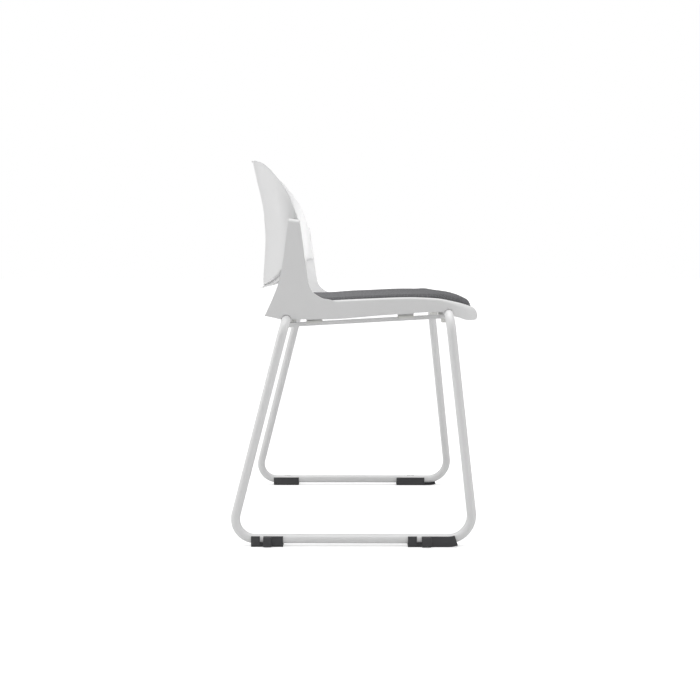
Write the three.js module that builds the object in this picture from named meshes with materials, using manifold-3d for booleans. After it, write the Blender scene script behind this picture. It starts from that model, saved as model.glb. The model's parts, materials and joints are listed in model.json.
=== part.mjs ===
// Sled base visitor chair: a moulded seat shell with two rear uprights, a curved back shell with
// a rear cover between them, a thin upholstered pad, and a bent steel tube frame on four glides.
// Millimetres, +Z up. The sitter faces -Y, the chair is symmetric about X = 0, the floor is Z = 0
// and the origin is the middle of the chair's footprint.
import * as THREE from 'three';
import { mergeVertices } from 'three/addons/utils/BufferGeometryUtils.js';
import Module from 'manifold-3d';

const wasm = await Module();
wasm.setup();

// Clearances shared by all pieces
const clearance = 0.3; // between pieces that touch when the chair is assembled
const overrun = 2; // how far a cutter passes the face that it opens
const embed = 1; // how deep a rib or boss is rooted in the wall that carries it
const weldDistance = 1e-4; // vertices closer than this are one

// Frame: two bent halves of one steel tube loop
const tube = {
  diameter: 18,
  wall: 2,
  seam: 0.6, // weld seam between the two halves
};
const sled = {
  sideGap: 11.5, // between the shell's side and the corner point of the leg top
  splay: 26, // how far the runner stands outside the leg top
  rearInset: 27.4, // rear cross tube, ahead of the pan's rear edge
  frontInset: 74.4, // front cross tube, behind the nose
  rearRake: 108.9, // corner point of runner and rear leg, behind the rear cross tube
  frontRake: 48.6, // corner point of runner and front leg, ahead of the front cross tube
  rearFloorBend: 38,
  frontFloorBend: 46,
  crossBend: 36,
};
const sleeve = { length: 64, wall: 1.6 };

// Glides under the runners
const glide = {
  sole: 4.7, // between floor and channel
  wall: 2, // beside the tube
  outerHeight: 20.4,
  innerHeight: 18.8,
  edgeChamfer: 2.6,
  rearInset: 42.1, // tail of the rear glide, ahead of the rear leg's corner point
  frontReach: 128.7, // tail of the front glide, behind the front leg's corner point
  head: 17.1, // short block at the tail
  rearSlot: 6.8, // slot that takes the next chair's lug
  frontSlot: 9.4,
  slotFloor: 9,
  slotInset: 1.4,
  rearLug: 15.8, // block that reaches into the next chair's slot
  frontLug: 18.4,
  lugReach: 6,
  lugChamfer: 1.4,
  rearTail: 21.8, // plain block of the rear glide
  frontWrap: 15, // stretch of the front glide that follows the bend
  innerTail: 24, // front glide's inner wall ends this far from the end of the glide
  innerStep: 3.4, // what is left of that wall there
};

// Seat shell
const seat = {
  height: 478.8, // highest line of the side rims
  width: 432,
  depth: 417.2,
  rear: 168.9, // rear edge of the pan, behind the origin
  cornerDepth: 125, // length of the curved front, from the straight sides to the nose
  wall: 3,
  pan: 4,
  padRecess: 2.5,
  relief: 30, // height that the profile tables are shares of
  skirt: 43, // depth that the skirt table is shares of
  draft: 1.5,
  sideRim: 5,
  noseRim: 17,
  rearSkirt: 26,
  ribDepth: 11,
  rib: 2.4,
  ribSpread: 150, // between the two inner lengthwise ribs
  crossRib: 188.9, // middle cross rib, ahead of the pan's rear edge
};
// Heights are shares of the relief below the rim height, places are shares of the depth
const rimShares = [[0, -0.3], [0.126, -0.33], [0.223, -0.26], [0.305, -0.18], [0.462, -0.08], [0.639, 0],
  [0.757, -0.06], [0.85, -0.29], [0.946, -0.71], [1, -1.03]];
const bedShares = [[0, -0.35], [0.103, -0.55], [0.246, -0.71], [0.39, -0.75], [0.533, -0.65],
  [0.678, -0.45], [0.774, -0.31], [0.846, -0.36], [0.894, -0.53], [0.93, -0.73], [0.955, -0.91],
  [1, -1.26]];
const skirtShares = [[-0.022, 0.87], [0.011, 0.935], [0.047, 1], [0.239, 1], [0.526, 0.81], [0.708, 0.685],
  [0.778, 0.655], [0.817, 0.75], [0.846, 0.855], [0.881, 0.95], [0.93, 1.09], [1, 1.135]];
const dishPower = 2.2;
const cornerPower = 3;

// Uprights at the rear of the shell
const upright = {
  overhang: 15.3, // rear bottom corner, behind the pan's rear edge
  length: 142, // from there to where the front edge has become the rim
  bottom: 36.4, // rear bottom corner below the rim height
  height: 180.5,
  thickness: 13,
  rebate: 1.6, // recess that takes the wing of the back shell
  edge: 2,
  roll: 8, // round top edge on the outer side
};
const uprightRearShares = [[0, 0], [0.169, 0.302], [0.254, 0.568], [0.313, 0.873], [0.335, 1]];
const uprightFrontShares = [[0.487, 0.986], [0.55, 0.62], [0.592, 0.388], [0.648, 0.268], [0.775, 0.195],
  [0.89, 0.175], [1, 0.15]];

// Back shell and its rear cover
const back = {
  aboveRim: 18.6, // bottom edge at the middle, above the rim height
  height: 265.6,
  wall: 4.5,
  wingClearance: 0.4,
  wingGap: 2.5, // shadow gap below the wing
  overhang: 20.1, // outer face at its most forward height, behind the pan's rear edge
  relief: 26, // depth that the profile table is shares of
  wingLean: 15, // how far the wing's front edge line leans back above the uprights
  lipReach: 13,
  lipHeight: 14,
};
const backProfileShares = [[0, 0.25], [0.12, 0.165], [0.22, 0.085], [0.363, 0], [0.567, 0.115], [0.725, 0.41],
  [0.815, 0.635], [0.913, 0.855], [1, 1.03]];
const backTopShares = [[0, 1], [0.22, 0.982], [0.44, 0.91], [0.556, 0.862], [0.667, 0.764], [0.778, 0.614],
  [0.889, 0.386], [0.944, 0.2], [1, 0]];
const backBottomShares = [[0, 0], [0.22, 0.03], [0.33, 0.09], [0.44, 0.19], [0.556, 0.31], [0.667, 0.47],
  [0.778, 0.66], [0.889, 0.9], [0.92, 1], [1, 1]];
const wingLowShare = 0.62; // of the upright's height, where the wing's lower edge ends
const planPower = 2.2;
const cover = {
  standOff: 6.5, // from the back shell's outer face to the cover's inner face
  wall: 2.5,
  topReveal: 10,
  bottomReveal: 7,
  sideReveal: 20,
  sideGap: 0.8,
  post: 9,
};
const tongue = {
  thickness: 2.8,
  aboveBack: 62.6, // lower edge, above the back's bottom edge
  height: 52,
  rootAngle: 84,
  tipAngle: 61,
  screwAngle: 69,
};

// Upholstered seat pad
const pad = {
  edgeGap: 1, // between rim and cover
  seatGap: 0.95, // between the bed and the board
  layerGap: 0.6, // between the board and the foam
  rearInset: 13.5, // rear edge, ahead of the pan's rear edge
  rearCorner: 60,
  rearSideInset: 18, // from the shell's side, at the rear
  taperStart: 90, // the pad widens from here, ahead of its rear edge
  taperEnd: 150,
  board: 2.4,
  foam: 6.5,
  fabric: 1,
  edgeRound: 8,
  frontThin: 3,
  crown: 1.5,
};

// Rails and their pads under the seat
const rail = {
  width: 20,
  height: 7.4,
  inset: 7.6, // between the rail and the start of the leg bend
  tail: 5, // past the middle of the rear cross tube
  frontDrop: 5.6, // rail's middle below the middle of the front cross tube
};
const railPad = {
  length: 31,
  top: 3,
  lip: 2,
  lipDepth: 3,
  rearInset: 53.3, // from the rear cross tube
  frontInset: 82, // from the front cross tube
};

// Clamps that hold the cross tubes to the shell
const clamp = {
  width: 26,
  length: 31,
  flange: 8.2,
  belly: 20,
  bellyLength: 16.6,
  chamfer: 4,
  fromRail: 12,
  hole: 24, // between its two screws
};

// Fasteners
const clampScrew = { shank: 3.6, head: 6.8, headHeight: 2.6, length: 20 };
const railScrew = { shank: 4.4, head: 8.6, headHeight: 2.4, length: 22 };
const padScrew = {
  shank: 4,
  head: 9,
  headHeight: 2.2,
  length: 6.6,
  ribGap: 35, // outside the middle of the lengthwise rib
  rearInset: 50.9, // from the pan's rear edge
  frontInset: 136.3, // from the nose
};
const backScrew = { shank: 3.6, head: 7.6, headHeight: 1.8, length: 6.2, spacing: 28 };
const holeGap = 0.4; // around a shank, on the radius

// Facet counts
const facets = { tube: 8, bore: 10, bend: 6, hole: 8, screw: 8, arc: 6, seatRows: 14, seatAcross: 12,
  padRows: 9, padAcross: 8, back: 22, outline: 5 };

// Values that follow from the sizes above
const tubeRadius = tube.diameter / 2;
const runnerZ = glide.sole + clearance + tubeRadius;
const halfSeat = seat.width / 2;
const seatFront = seat.rear - seat.depth;
const legTopX = halfSeat + sled.sideGap + tubeRadius;
const runnerX = legTopX + sled.splay;
const rearCrossY = seat.rear - sled.rearInset;
const frontCrossY = seatFront + sled.frontInset;
const rearFootY = rearCrossY + sled.rearRake;
const frontFootY = frontCrossY - sled.frontRake;
const frontCrossZ = seat.height - seat.skirt * 0.655 - tubeRadius * 0.47;
const rearCrossZ = seat.height - seat.skirt + tubeRadius * 0.07;
const uprightRear = seat.rear + upright.overhang;
const uprightEnd = uprightRear - upright.length;
const uprightTop = seat.height - upright.bottom + upright.height;
const backBottom = seat.height + back.aboveRim;
const backTop = backBottom + back.height;
const backRear = seat.rear + back.overhang;
const uprightInner = halfSeat - upright.thickness;
const wingHalf = uprightInner + upright.rebate - back.wingClearance;

// Finishes
const whitePlastic = { color: 0xf1f1ef, roughness: 0.5, metalness: 0 };
const whitePaint = { color: 0xeeeeec, roughness: 0.38, metalness: 0 };
const greyFabric = { color: 0x4b4b4e, roughness: 0.95, metalness: 0 };
const blackNylon = { color: 0x2b2b2d, roughness: 0.6, metalness: 0 };
const zincSteel = { color: 0xb9bcc0, roughness: 0.35, metalness: 1 };
const paleFoam = { color: 0xd9d2b8, roughness: 1, metalness: 0 };
const birchBoard = { color: 0xc9ab7c, roughness: 0.8, metalness: 0 };

const chair = new THREE.Group();

function place(name, geometry, finish) {
  const mesh = new THREE.Mesh(geometry, new THREE.MeshStandardMaterial(finish));
  mesh.name = name;
  chair.add(mesh);
  return mesh;
}

// Smooth curve through a table of [place, value] rows
function curveThrough(rows) {
  return (place) => {
    const last = rows.length - 1;
    if (place <= rows[0][0]) return rows[0][1];
    if (place >= rows[last][0]) return rows[last][1];
    let i = 0;
    while (rows[i + 1][0] < place) i += 1;
    const slope = (a, b) => (rows[b][1] - rows[a][1]) / (rows[b][0] - rows[a][0]);
    const step = rows[i + 1][0] - rows[i][0];
    const here = slope(i, i + 1);
    const before = i > 0 ? slope(i - 1, i) : here;
    const after = i < last - 1 ? slope(i + 1, i + 2) : here;
    const limited = (a, b) => (a * b <= 0 ? 0 : (2 * a * b) / (a + b));
    const startSlope = i > 0 ? limited(before, here) : here;
    const endSlope = i < last - 1 ? limited(here, after) : here;
    const t = (place - rows[i][0]) / step;
    const rise = rows[i + 1][1] - rows[i][1];
    return rows[i][1] + t * t * (3 - 2 * t) * rise
      + t * (1 - t) * ((1 - t) * startSlope - t * endSlope) * step;
  };
}

// Solids from geometries, and back
function solid(geometry) {
  const bare = new THREE.BufferGeometry();
  bare.setAttribute('position', geometry.getAttribute('position'));
  if (geometry.index) bare.setIndex(geometry.index);
  const merged = mergeVertices(bare, weldDistance);
  const vertProperties = new Float32Array(merged.getAttribute('position').array);
  const triVerts = new Uint32Array(merged.index.array);
  return new wasm.Manifold(new wasm.Mesh({ numProp: 3, vertProperties, triVerts }));
}

function skin(body) {
  const mesh = body.getMesh();
  const geometry = new THREE.BufferGeometry();
  geometry.setAttribute('position', new THREE.BufferAttribute(new Float32Array(mesh.vertProperties), 3));
  geometry.setIndex(new THREE.BufferAttribute(new Uint32Array(mesh.triVerts), 1));
  geometry.computeVertexNormals();
  return geometry;
}

function joined(bodies) {
  return bodies.reduce((whole, body) => whole.add(body));
}

function cutBy(body, cutters) {
  return cutters.reduce((whole, cutter) => whole.subtract(cutter), body);
}

function mirrored(geometry) {
  const copy = geometry.clone();
  copy.scale(-1, 1, 1);
  const index = copy.index ? copy.index.array : null;
  if (index) {
    for (let i = 0; i < index.length; i += 3) [index[i], index[i + 1]] = [index[i + 1], index[i]];
    return copy;
  }
  const corners = copy.getAttribute('position').array;
  for (let i = 0; i < corners.length; i += 9) {
    for (let k = i; k < i + 3; k += 1) [corners[k], corners[k + 3]] = [corners[k + 3], corners[k]];
  }
  return copy;
}

// Extrusions of an outline along one axis of the chair
function outlineOf(points) {
  return new THREE.Shape(points.map(([a, b]) => new THREE.Vector2(a, b)));
}

function extrudeX(shape, from, to, bevel = 0) {
  const body = new THREE.ExtrudeGeometry(shape, {
    depth: to - from - 2 * bevel, bevelEnabled: bevel > 0, bevelThickness: bevel, bevelSize: bevel,
    bevelOffset: -bevel, bevelSegments: 2, curveSegments: facets.arc,
  });
  body.applyMatrix4(new THREE.Matrix4().makeBasis(
    new THREE.Vector3(0, 1, 0), new THREE.Vector3(0, 0, 1), new THREE.Vector3(1, 0, 0)));
  body.translate(from + bevel, 0, 0);
  return body;
}

function extrudeY(shape, from, to) {
  const body = new THREE.ExtrudeGeometry(shape, {
    depth: to - from, bevelEnabled: false, curveSegments: facets.arc,
  });
  body.applyMatrix4(new THREE.Matrix4().makeBasis(
    new THREE.Vector3(1, 0, 0), new THREE.Vector3(0, 0, 1), new THREE.Vector3(0, -1, 0)));
  body.translate(0, to, 0);
  return body;
}

function block(x0, x1, y0, y1, z0, z1) {
  const body = new THREE.BoxGeometry(x1 - x0, y1 - y0, z1 - z0);
  body.translate((x0 + x1) / 2, (y0 + y1) / 2, (z0 + z1) / 2);
  return body;
}

const xAxis = new THREE.Vector3(1, 0, 0);
const yAxis = new THREE.Vector3(0, 1, 0);
function turnTo(direction) {
  return new THREE.Quaternion().setFromUnitVectors(yAxis, direction.clone().normalize());
}

// Round bar from a point along a direction
function rod(radius, from, direction, length, sides = facets.hole) {
  const body = new THREE.CylinderGeometry(radius, radius, length, sides);
  body.translate(0, length / 2, 0);
  body.applyQuaternion(turnTo(direction));
  body.translate(from.x, from.y, from.z);
  return body;
}

// Round body from a profile of [radius, height] points, its axis from a point along a direction
function turned(points, from, direction) {
  const body = new THREE.LatheGeometry(points.map(([r, h]) => new THREE.Vector2(r, h)), facets.screw);
  body.applyQuaternion(turnTo(direction));
  body.translate(from.x, from.y, from.z);
  return solid(body);
}

// Screws: the point is where the shank leaves the head, and the shank runs along the direction
function panHeadScrew(screw, from, direction) {
  const shank = screw.shank / 2;
  const head = screw.head / 2;
  return skin(turned([
    [0, -screw.headHeight], [head * 0.7, -screw.headHeight], [head, -screw.headHeight * 0.45], [head, 0],
    [shank, 0], [shank, screw.length * 0.88], [shank * 0.5, screw.length], [0, screw.length],
  ], from, direction));
}
function countersunkScrew(screw, from, direction) {
  const shank = screw.shank / 2;
  const head = screw.head / 2;
  const neck = screw.headHeight;
  return skin(turned([
    [0, 0], [head, 0], [head, neck * 0.2], [shank, neck], [shank, screw.length * 0.88],
    [shank * 0.5, screw.length], [0, screw.length],
  ], from, direction));
}

// Path with straight runs and round bends between corner points
class BentPath extends THREE.Curve {
  constructor(corners, radii, sideways = null) {
    super();
    this.sideways = sideways;
    this.stations = [];
    let from = corners[0];
    for (let i = 1; i < corners.length - 1; i += 1) {
      const inward = corners[i - 1].clone().sub(corners[i]).normalize();
      const outward = corners[i + 1].clone().sub(corners[i]).normalize();
      const turn = Math.PI - inward.angleTo(outward);
      const radius = radii[i - 1];
      const reach = radius * Math.tan(turn / 2);
      const start = corners[i].clone().addScaledVector(inward, reach);
      const middle = inward.clone().add(outward).normalize();
      const centre = corners[i].clone().addScaledVector(middle, radius / Math.cos(turn / 2));
      const axis = outward.clone().cross(inward).normalize().negate();
      this.stations.push({ from, to: start });
      const arm = start.clone().sub(centre);
      for (let k = 0; k < facets.bend; k += 1) {
        this.stations.push({ centre, arm, axis: axis.clone().negate(), turn, part: k });
      }
      from = corners[i].clone().addScaledVector(outward, reach);
    }
    this.stations.push({ from, to: corners[corners.length - 1] });
    this.steps = this.stations.length;
  }

  getPoint(t, target = new THREE.Vector3()) {
    const place = Math.min(Math.max(t, 0), 1) * this.steps;
    const index = Math.min(Math.floor(place), this.steps - 1);
    const rest = place - index;
    const station = this.stations[index];
    if (station.from) return target.copy(station.from).lerp(station.to, rest);
    const angle = (station.turn * (station.part + rest)) / facets.bend;
    return target.copy(station.arm).applyAxisAngle(station.axis, angle).add(station.centre);
  }

  getUtoTmapping(u) {
    return u;
  }

  computeFrenetFrames(segments, closed) {
    if (!this.sideways) return super.computeFrenetFrames(segments, closed);
    const frames = { tangents: [], normals: [], binormals: [] };
    for (let i = 0; i <= segments; i += 1) {
      const tangent = this.getTangentAt(i / segments);
      frames.tangents.push(tangent);
      frames.normals.push(this.sideways.clone());
      frames.binormals.push(tangent.clone().cross(this.sideways).normalize());
    }
    return frames;
  }
}

function ringShape(radius, bore = 0) {
  const shape = new THREE.Shape();
  shape.absarc(0, 0, radius, 0, 2 * Math.PI);
  if (bore > 0) {
    const corners = [];
    for (let i = 0; i < facets.bore; i += 1) {
      const angle = (-2 * Math.PI * i) / facets.bore;
      corners.push(new THREE.Vector2(bore * Math.cos(angle), bore * Math.sin(angle)));
    }
    shape.holes.push(new THREE.Path(corners));
  }
  return shape;
}

function sweep(shape, path) {
  return new THREE.ExtrudeGeometry(shape, {
    steps: path.steps, extrudePath: path, curveSegments: facets.tube, bevelEnabled: false,
  });
}

// Frame tube: one half of the loop, on the +X side
const loopCorners = [
  new THREE.Vector3(tube.seam / 2, rearCrossY, rearCrossZ),
  new THREE.Vector3(legTopX, rearCrossY, rearCrossZ),
  new THREE.Vector3(runnerX, rearFootY, runnerZ),
  new THREE.Vector3(runnerX, frontFootY, runnerZ),
  new THREE.Vector3(legTopX, frontCrossY, frontCrossZ),
  new THREE.Vector3(tube.seam / 2, frontCrossY, frontCrossZ),
];
const loopRadii = [sled.crossBend, sled.rearFloorBend, sled.frontFloorBend, sled.crossBend];
const loopPath = new BentPath(loopCorners, loopRadii);
const tubeHalf = sweep(ringShape(tubeRadius, tubeRadius - tube.wall), loopPath);
place('sled_tube_left', tubeHalf, whitePaint);
place('sled_tube_right', mirrored(tubeHalf), whitePaint);

// Sleeves inside the tube ends, where the halves are welded together
const polygonShare = Math.cos(Math.PI / (2 * facets.tube));
const sleeveRadius = (tubeRadius - tube.wall) * Math.cos(Math.PI / facets.bore) - clearance;
function joiningSleeve(y, z) {
  const body = sweep(ringShape(sleeveRadius, sleeveRadius - sleeve.wall), new BentPath([
    new THREE.Vector3(-sleeve.length / 2, y, z), new THREE.Vector3(sleeve.length / 2, y, z)], []));
  return body;
}
place('joining_sleeve_rear', joiningSleeve(rearCrossY, rearCrossZ), zincSteel);
place('joining_sleeve_front', joiningSleeve(frontCrossY, frontCrossZ), zincSteel);

// Solid of the tube with room around it, for cutting what it passes through
function tubeCutter(room) {
  const half = sweep(ringShape((tubeRadius + room) / polygonShare), loopPath);
  return solid(half).add(solid(mirrored(half)));
}

// Seat surfaces
const rimShape = curveThrough(rimShares);
const bedShape = curveThrough(bedShares);
const skirtShape = curveThrough(skirtShares);
const seatShare = (y) => (seat.rear - y) / seat.depth;
const rimZ = (y) => seat.height + seat.relief * rimShape(seatShare(y));
const skirtZ = (y) => seat.height - seat.skirt * skirtShape(seatShare(y));
function bedZ(x, y) {
  const middle = seat.height + seat.relief * bedShape(seatShare(y));
  const side = rimZ(y) - seat.padRecess;
  return middle + (side - middle) * Math.min(Math.abs(x) / halfSeat, 1) ** dishPower;
}

// Right half of a plan outline: rear corner, straight side, curved front
const padRear = seat.rear - pad.rearInset;
function planOutline({ rear, front, half, rearHalf, cornerDepth, rearCorner, rows }) {
  const power = 2 / cornerPower;
  const points = [];
  const widthAt = (y) => {
    const t = THREE.MathUtils.smoothstep(padRear - y, pad.taperStart, pad.taperEnd);
    return rearHalf + (half - rearHalf) * t;
  };
  const cornerRows = Math.round(rows * 0.4);
  if (rearCorner > 0) {
    for (let i = 0; i < cornerRows; i += 1) {
      const angle = (Math.PI / 2) * (1 - (i + 0.35) / cornerRows);
      const y = rear - rearCorner * (1 - Math.sin(angle) ** power);
      points.push([rearHalf * Math.cos(angle) ** power, y]);
    }
  }
  const straightStart = rear - rearCorner;
  const straightEnd = front + cornerDepth;
  for (let i = 0; i <= rows; i += 1) {
    const y = straightStart + ((straightEnd - straightStart) * i) / rows;
    points.push([widthAt(y), y]);
  }
  for (let i = 1; i <= cornerRows; i += 1) {
    const angle = (Math.PI / 2) * Math.min(i / cornerRows, 1 - 0.25 / cornerRows);
    points.push([half * Math.cos(angle) ** power, front + cornerDepth * (1 - Math.sin(angle) ** power)]);
  }
  return points;
}

// Outward direction of a plan outline at one of its points
function outwardAt(points, i) {
  const before = points[Math.max(i - 1, 0)];
  const after = points[Math.min(i + 1, points.length - 1)];
  const along = new THREE.Vector2(after[0] - before[0], after[1] - before[1]).normalize();
  return new THREE.Vector2(-along.y, along.x);
}

// Geometry of triangles, three corners each
function surface(corners) {
  const places = new Float32Array(corners.flatMap((p) => [p.x, p.y, p.z]));
  return new THREE.BufferGeometry().setAttribute('position', new THREE.BufferAttribute(places, 3));
}

// Closed solid from two skins of equal grids: rows of points, each from the right edge to the left
function shellBetween(outer, inner, folded) {
  const rows = outer.length;
  const columns = outer[0].length;
  const corners = [];
  const quad = (a, b, c, d) => corners.push(a, b, c, a, c, d);
  for (let i = 0; i < rows - 1; i += 1) {
    for (let k = 0; k < columns - 1; k += 1) {
      quad(outer[i][k], outer[i][k + 1], outer[i + 1][k + 1], outer[i + 1][k]);
      quad(inner[i][k], inner[i + 1][k], inner[i + 1][k + 1], inner[i][k + 1]);
    }
    quad(outer[i][0], outer[i + 1][0], inner[i + 1][0], inner[i][0]);
    const edge = columns - 1;
    quad(outer[i][edge], inner[i][edge], inner[i + 1][edge], outer[i + 1][edge]);
  }
  for (let k = 0; k < columns - 1; k += 1) {
    quad(outer[0][k], inner[0][k], inner[0][k + 1], outer[0][k + 1]);
    if (!folded) quad(outer[rows - 1][k], outer[rows - 1][k + 1], inner[rows - 1][k + 1], inner[rows - 1][k]);
  }
  if (folded) {
    const half = Math.floor(columns / 2);
    for (let k = 0; k < half; k += 1) {
      const far = columns - 1 - k;
      const low = outer[rows - 1];
      const lowInner = inner[rows - 1];
      quad(low[k], low[k + 1], low[far - 1], low[far]);
      quad(lowInner[k], lowInner[far], lowInner[far - 1], lowInner[k + 1]);
    }
    quad(outer[rows - 1][0], outer[rows - 1][columns - 1], inner[rows - 1][columns - 1], inner[rows - 1][0]);
  }
  return surface(corners);
}

// A row of the seat: edge points by their inset from the outline, then points across
function seatRow(point, outward, edge, across, height) {
  const right = edge.map(({ inset, z }) => {
    const x = Math.max(point[0] - outward.x * inset, overrun);
    const y = point[1] - outward.y * inset;
    return new THREE.Vector3(x, y, typeof z === 'function' ? z(x, y) : z);
  });
  const last = right[right.length - 1];
  const middle = [];
  for (let i = 1; i < across; i += 1) {
    const share = 1 - (2 * i) / across;
    middle.push(new THREE.Vector3(last.x * share, last.y, height(last.x * share, last.y, Math.abs(share))));
  }
  const left = [...right].reverse().map((p) => new THREE.Vector3(-p.x, p.y, p.z));
  return [...right, ...middle, ...left];
}

function seatPan() {
  const outline = planOutline({
    rear: seat.rear, front: seatFront, half: halfSeat, rearHalf: halfSeat, cornerDepth: seat.cornerDepth,
    rearCorner: 0, rows: facets.seatRows,
  });
  const outer = [];
  const inner = [];
  outline.forEach((point, i) => {
    const outward = outwardAt(outline, i);
    const frontness = outward.y ** 2;
    const rim = seat.sideRim + (seat.noseRim - seat.sideRim) * frontness;
    const low = skirtZ(point[1]);
    const rimAt = (turn) => ({ inset: rim * (1 - Math.cos(turn)), drop: rim * (1 - Math.sin(turn)) });
    const top = rimZ(point[1] - outward.y * rim);
    const draft = seat.draft * THREE.MathUtils.smoothstep(uprightEnd - point[1], 0, uprightEnd);
    const edge = [{ inset: draft, z: low }];
    for (const turn of [0, 0.6, 1.1, Math.PI / 2]) {
      edge.push({ inset: rimAt(turn).inset, z: top - rimAt(turn).drop });
    }
    edge.push({ inset: rim + seat.padRecess / 2, z: bedZ });
    outer.push(seatRow(point, outward, edge, facets.seatAcross, bedZ));
    const under = (x, y) => bedZ(x, y) - seat.pan;
    const innerEdge = [{ inset: draft + seat.wall, z: low }];
    for (const turn of [0, 0.6, 1.1, Math.PI / 2]) {
      const part = rimAt(turn);
      innerEdge.push({ inset: seat.wall + part.inset * 0.9, z: top - part.drop - seat.pan * Math.sin(turn) });
    }
    innerEdge.push({ inset: rim + seat.wall + seat.padRecess / 2, z: under });
    inner.push(seatRow(point, outward, innerEdge, facets.seatAcross, under));
  });
  return shellBetween(outer, inner, true);
}

// Side outline of an upright, from its shares
const uprightY = (share) => uprightRear - upright.length * share;
const uprightZ = (share) => seat.height - upright.bottom + upright.height * share;
const uprightPoint = ([a, b]) => [uprightY(a), uprightZ(b)];
const uprightRearAt = curveThrough(uprightRearShares.map(([a, b]) => [uprightZ(b), uprightY(a)]));
const uprightFrontAt = curveThrough(uprightFrontShares.map(([a, b]) => [uprightZ(b), uprightY(a)]).reverse());

function smoothEdge(rows) {
  const curve = new THREE.SplineCurve(rows.map((row) => new THREE.Vector2(...uprightPoint(row))));
  return curve.getPoints((rows.length - 1) * 2).map((p) => [p.x, p.y]);
}

function uprightOutline() {
  const rear = smoothEdge(uprightRearShares);
  const front = smoothEdge(uprightFrontShares);
  const [rearTip, frontTip] = [rear[rear.length - 1], front[0]];
  const bottom = [];
  const count = facets.outline;
  for (let i = 0; i < count; i += 1) {
    const y = uprightEnd + (upright.length * i) / count;
    bottom.push([y, skirtZ(y)]);
  }
  const crest = [[rearTip[0], rearTip[1] + upright.roll], [frontTip[0], frontTip[1] + upright.roll]];
  return outlineOf([...rear, ...crest, ...front, ...bottom]);
}

// Back surface: angle 0 is the middle of the back, 90 degrees is the wing's front edge
const backProfile = curveThrough(backProfileShares);
const backShare = (z) => (z - backBottom) / back.height;
function wingFront(z) {
  const top = uprightZ(uprightFrontShares[0][1]);
  if (z <= top) return uprightFrontAt(z);
  return uprightFrontAt(top) + (back.wingLean * (z - top)) / (backTop - top);
}
function backPoint(angle, z, offset = 0) {
  const power = 2 / planPower;
  const sine = Math.sin(angle);
  const front = wingFront(z);
  const rear = backRear + back.relief * backProfile(backShare(z)) + offset;
  const x = (wingHalf + offset) * Math.sign(sine) * Math.abs(sine) ** power;
  return new THREE.Vector3(x, front + (rear - front) * Math.abs(Math.cos(angle)) ** power, z);
}
function backNormal(angle, z) {
  const tiny = 1e-3;
  const across = backPoint(angle + tiny, z).sub(backPoint(angle - tiny, z));
  const rise = backPoint(angle, z + 1).sub(backPoint(angle, z - 1));
  return across.cross(rise).normalize().negate();
}
const quarter = Math.PI / 2;
const backTopCurve = curveThrough(backTopShares);
const backBottomCurve = curveThrough(backBottomShares);
const wingLowZ = uprightZ(wingLowShare);
function backTopZ(angle) {
  return uprightTop + (backTop - uprightTop) * backTopCurve(Math.abs(angle) / quarter);
}
function backBottomZ(angle) {
  return backBottom + (wingLowZ - backBottom) * backBottomCurve(Math.abs(angle) / quarter);
}

// Angle at which the back surface reaches a given depth
function angleAtDepth(y, z, offset) {
  let low = 0;
  let high = quarter;
  for (let i = 0; i < 30; i += 1) {
    const middle = (low + high) / 2;
    if (backPoint(middle, z, offset).y > y) low = middle;
    else high = middle;
  }
  return low;
}

const lipShares = [0, 0.018, 0.036, 0.056];
const bodyShares = [0.16, 0.3, 0.44, 0.58, 0.72, 0.85];
function backShell() {
  const rows = [...lipShares, ...bodyShares, ...[...lipShares].reverse().map((share) => 1 - share)];
  const outer = [];
  const inner = [];
  for (const share of rows) {
    const outerRow = [];
    const innerRow = [];
    for (let k = 0; k <= facets.back; k += 1) {
      const angle = quarter * (1 - (2 * k) / facets.back);
      const low = backBottomZ(angle);
      const high = backTopZ(angle);
      const z = low + (high - low) * share;
      const fade = (1 - (Math.abs(angle) / quarter) ** 2) ** 1.5;
      const near = Math.min(z - low, high - z);
      const curl = back.lipReach * fade * Math.max(0, 1 - near / back.lipHeight) ** 2;
      outerRow.push(backPoint(angle, z, curl));
      innerRow.push(backPoint(angle, z, curl - back.wall));
    }
    outer.push(outerRow);
    inner.push(innerRow);
  }
  return shellBetween(outer, inner, false);
}

// Where the rear cover's side edge runs: behind the upright, then straight up
const coverSideY = (z) => uprightRearAt(Math.min(z, uprightTop)) + cover.sideGap;
function coverPoint(side, share, offset) {
  let angle = side * quarter * 0.8;
  let z = 0;
  for (let i = 0; i < 6; i += 1) {
    const part = Math.abs(angle) / quarter;
    const low = backBottomZ(angle) + cover.bottomReveal
      + (cover.sideReveal - cover.bottomReveal) * part ** 1.5;
    const high = backTopZ(angle) - cover.topReveal;
    z = low + Math.max(high - low, cover.topReveal) * share;
    angle = side * angleAtDepth(coverSideY(z), z, offset);
  }
  return backPoint(angle, z, offset);
}
function coverShell() {
  const skins = [cover.standOff + cover.wall, cover.standOff].map((offset) => {
    const grid = [];
    for (let i = 0; i <= 8; i += 1) {
      const row = [];
      for (let k = 0; k <= facets.back; k += 1) {
        row.push(coverPoint(1 - 2 * (k / facets.back), i / 8, offset));
      }
      grid.push(row);
    }
    return grid;
  });
  return shellBetween(skins[0], skins[1], false);
}

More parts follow.
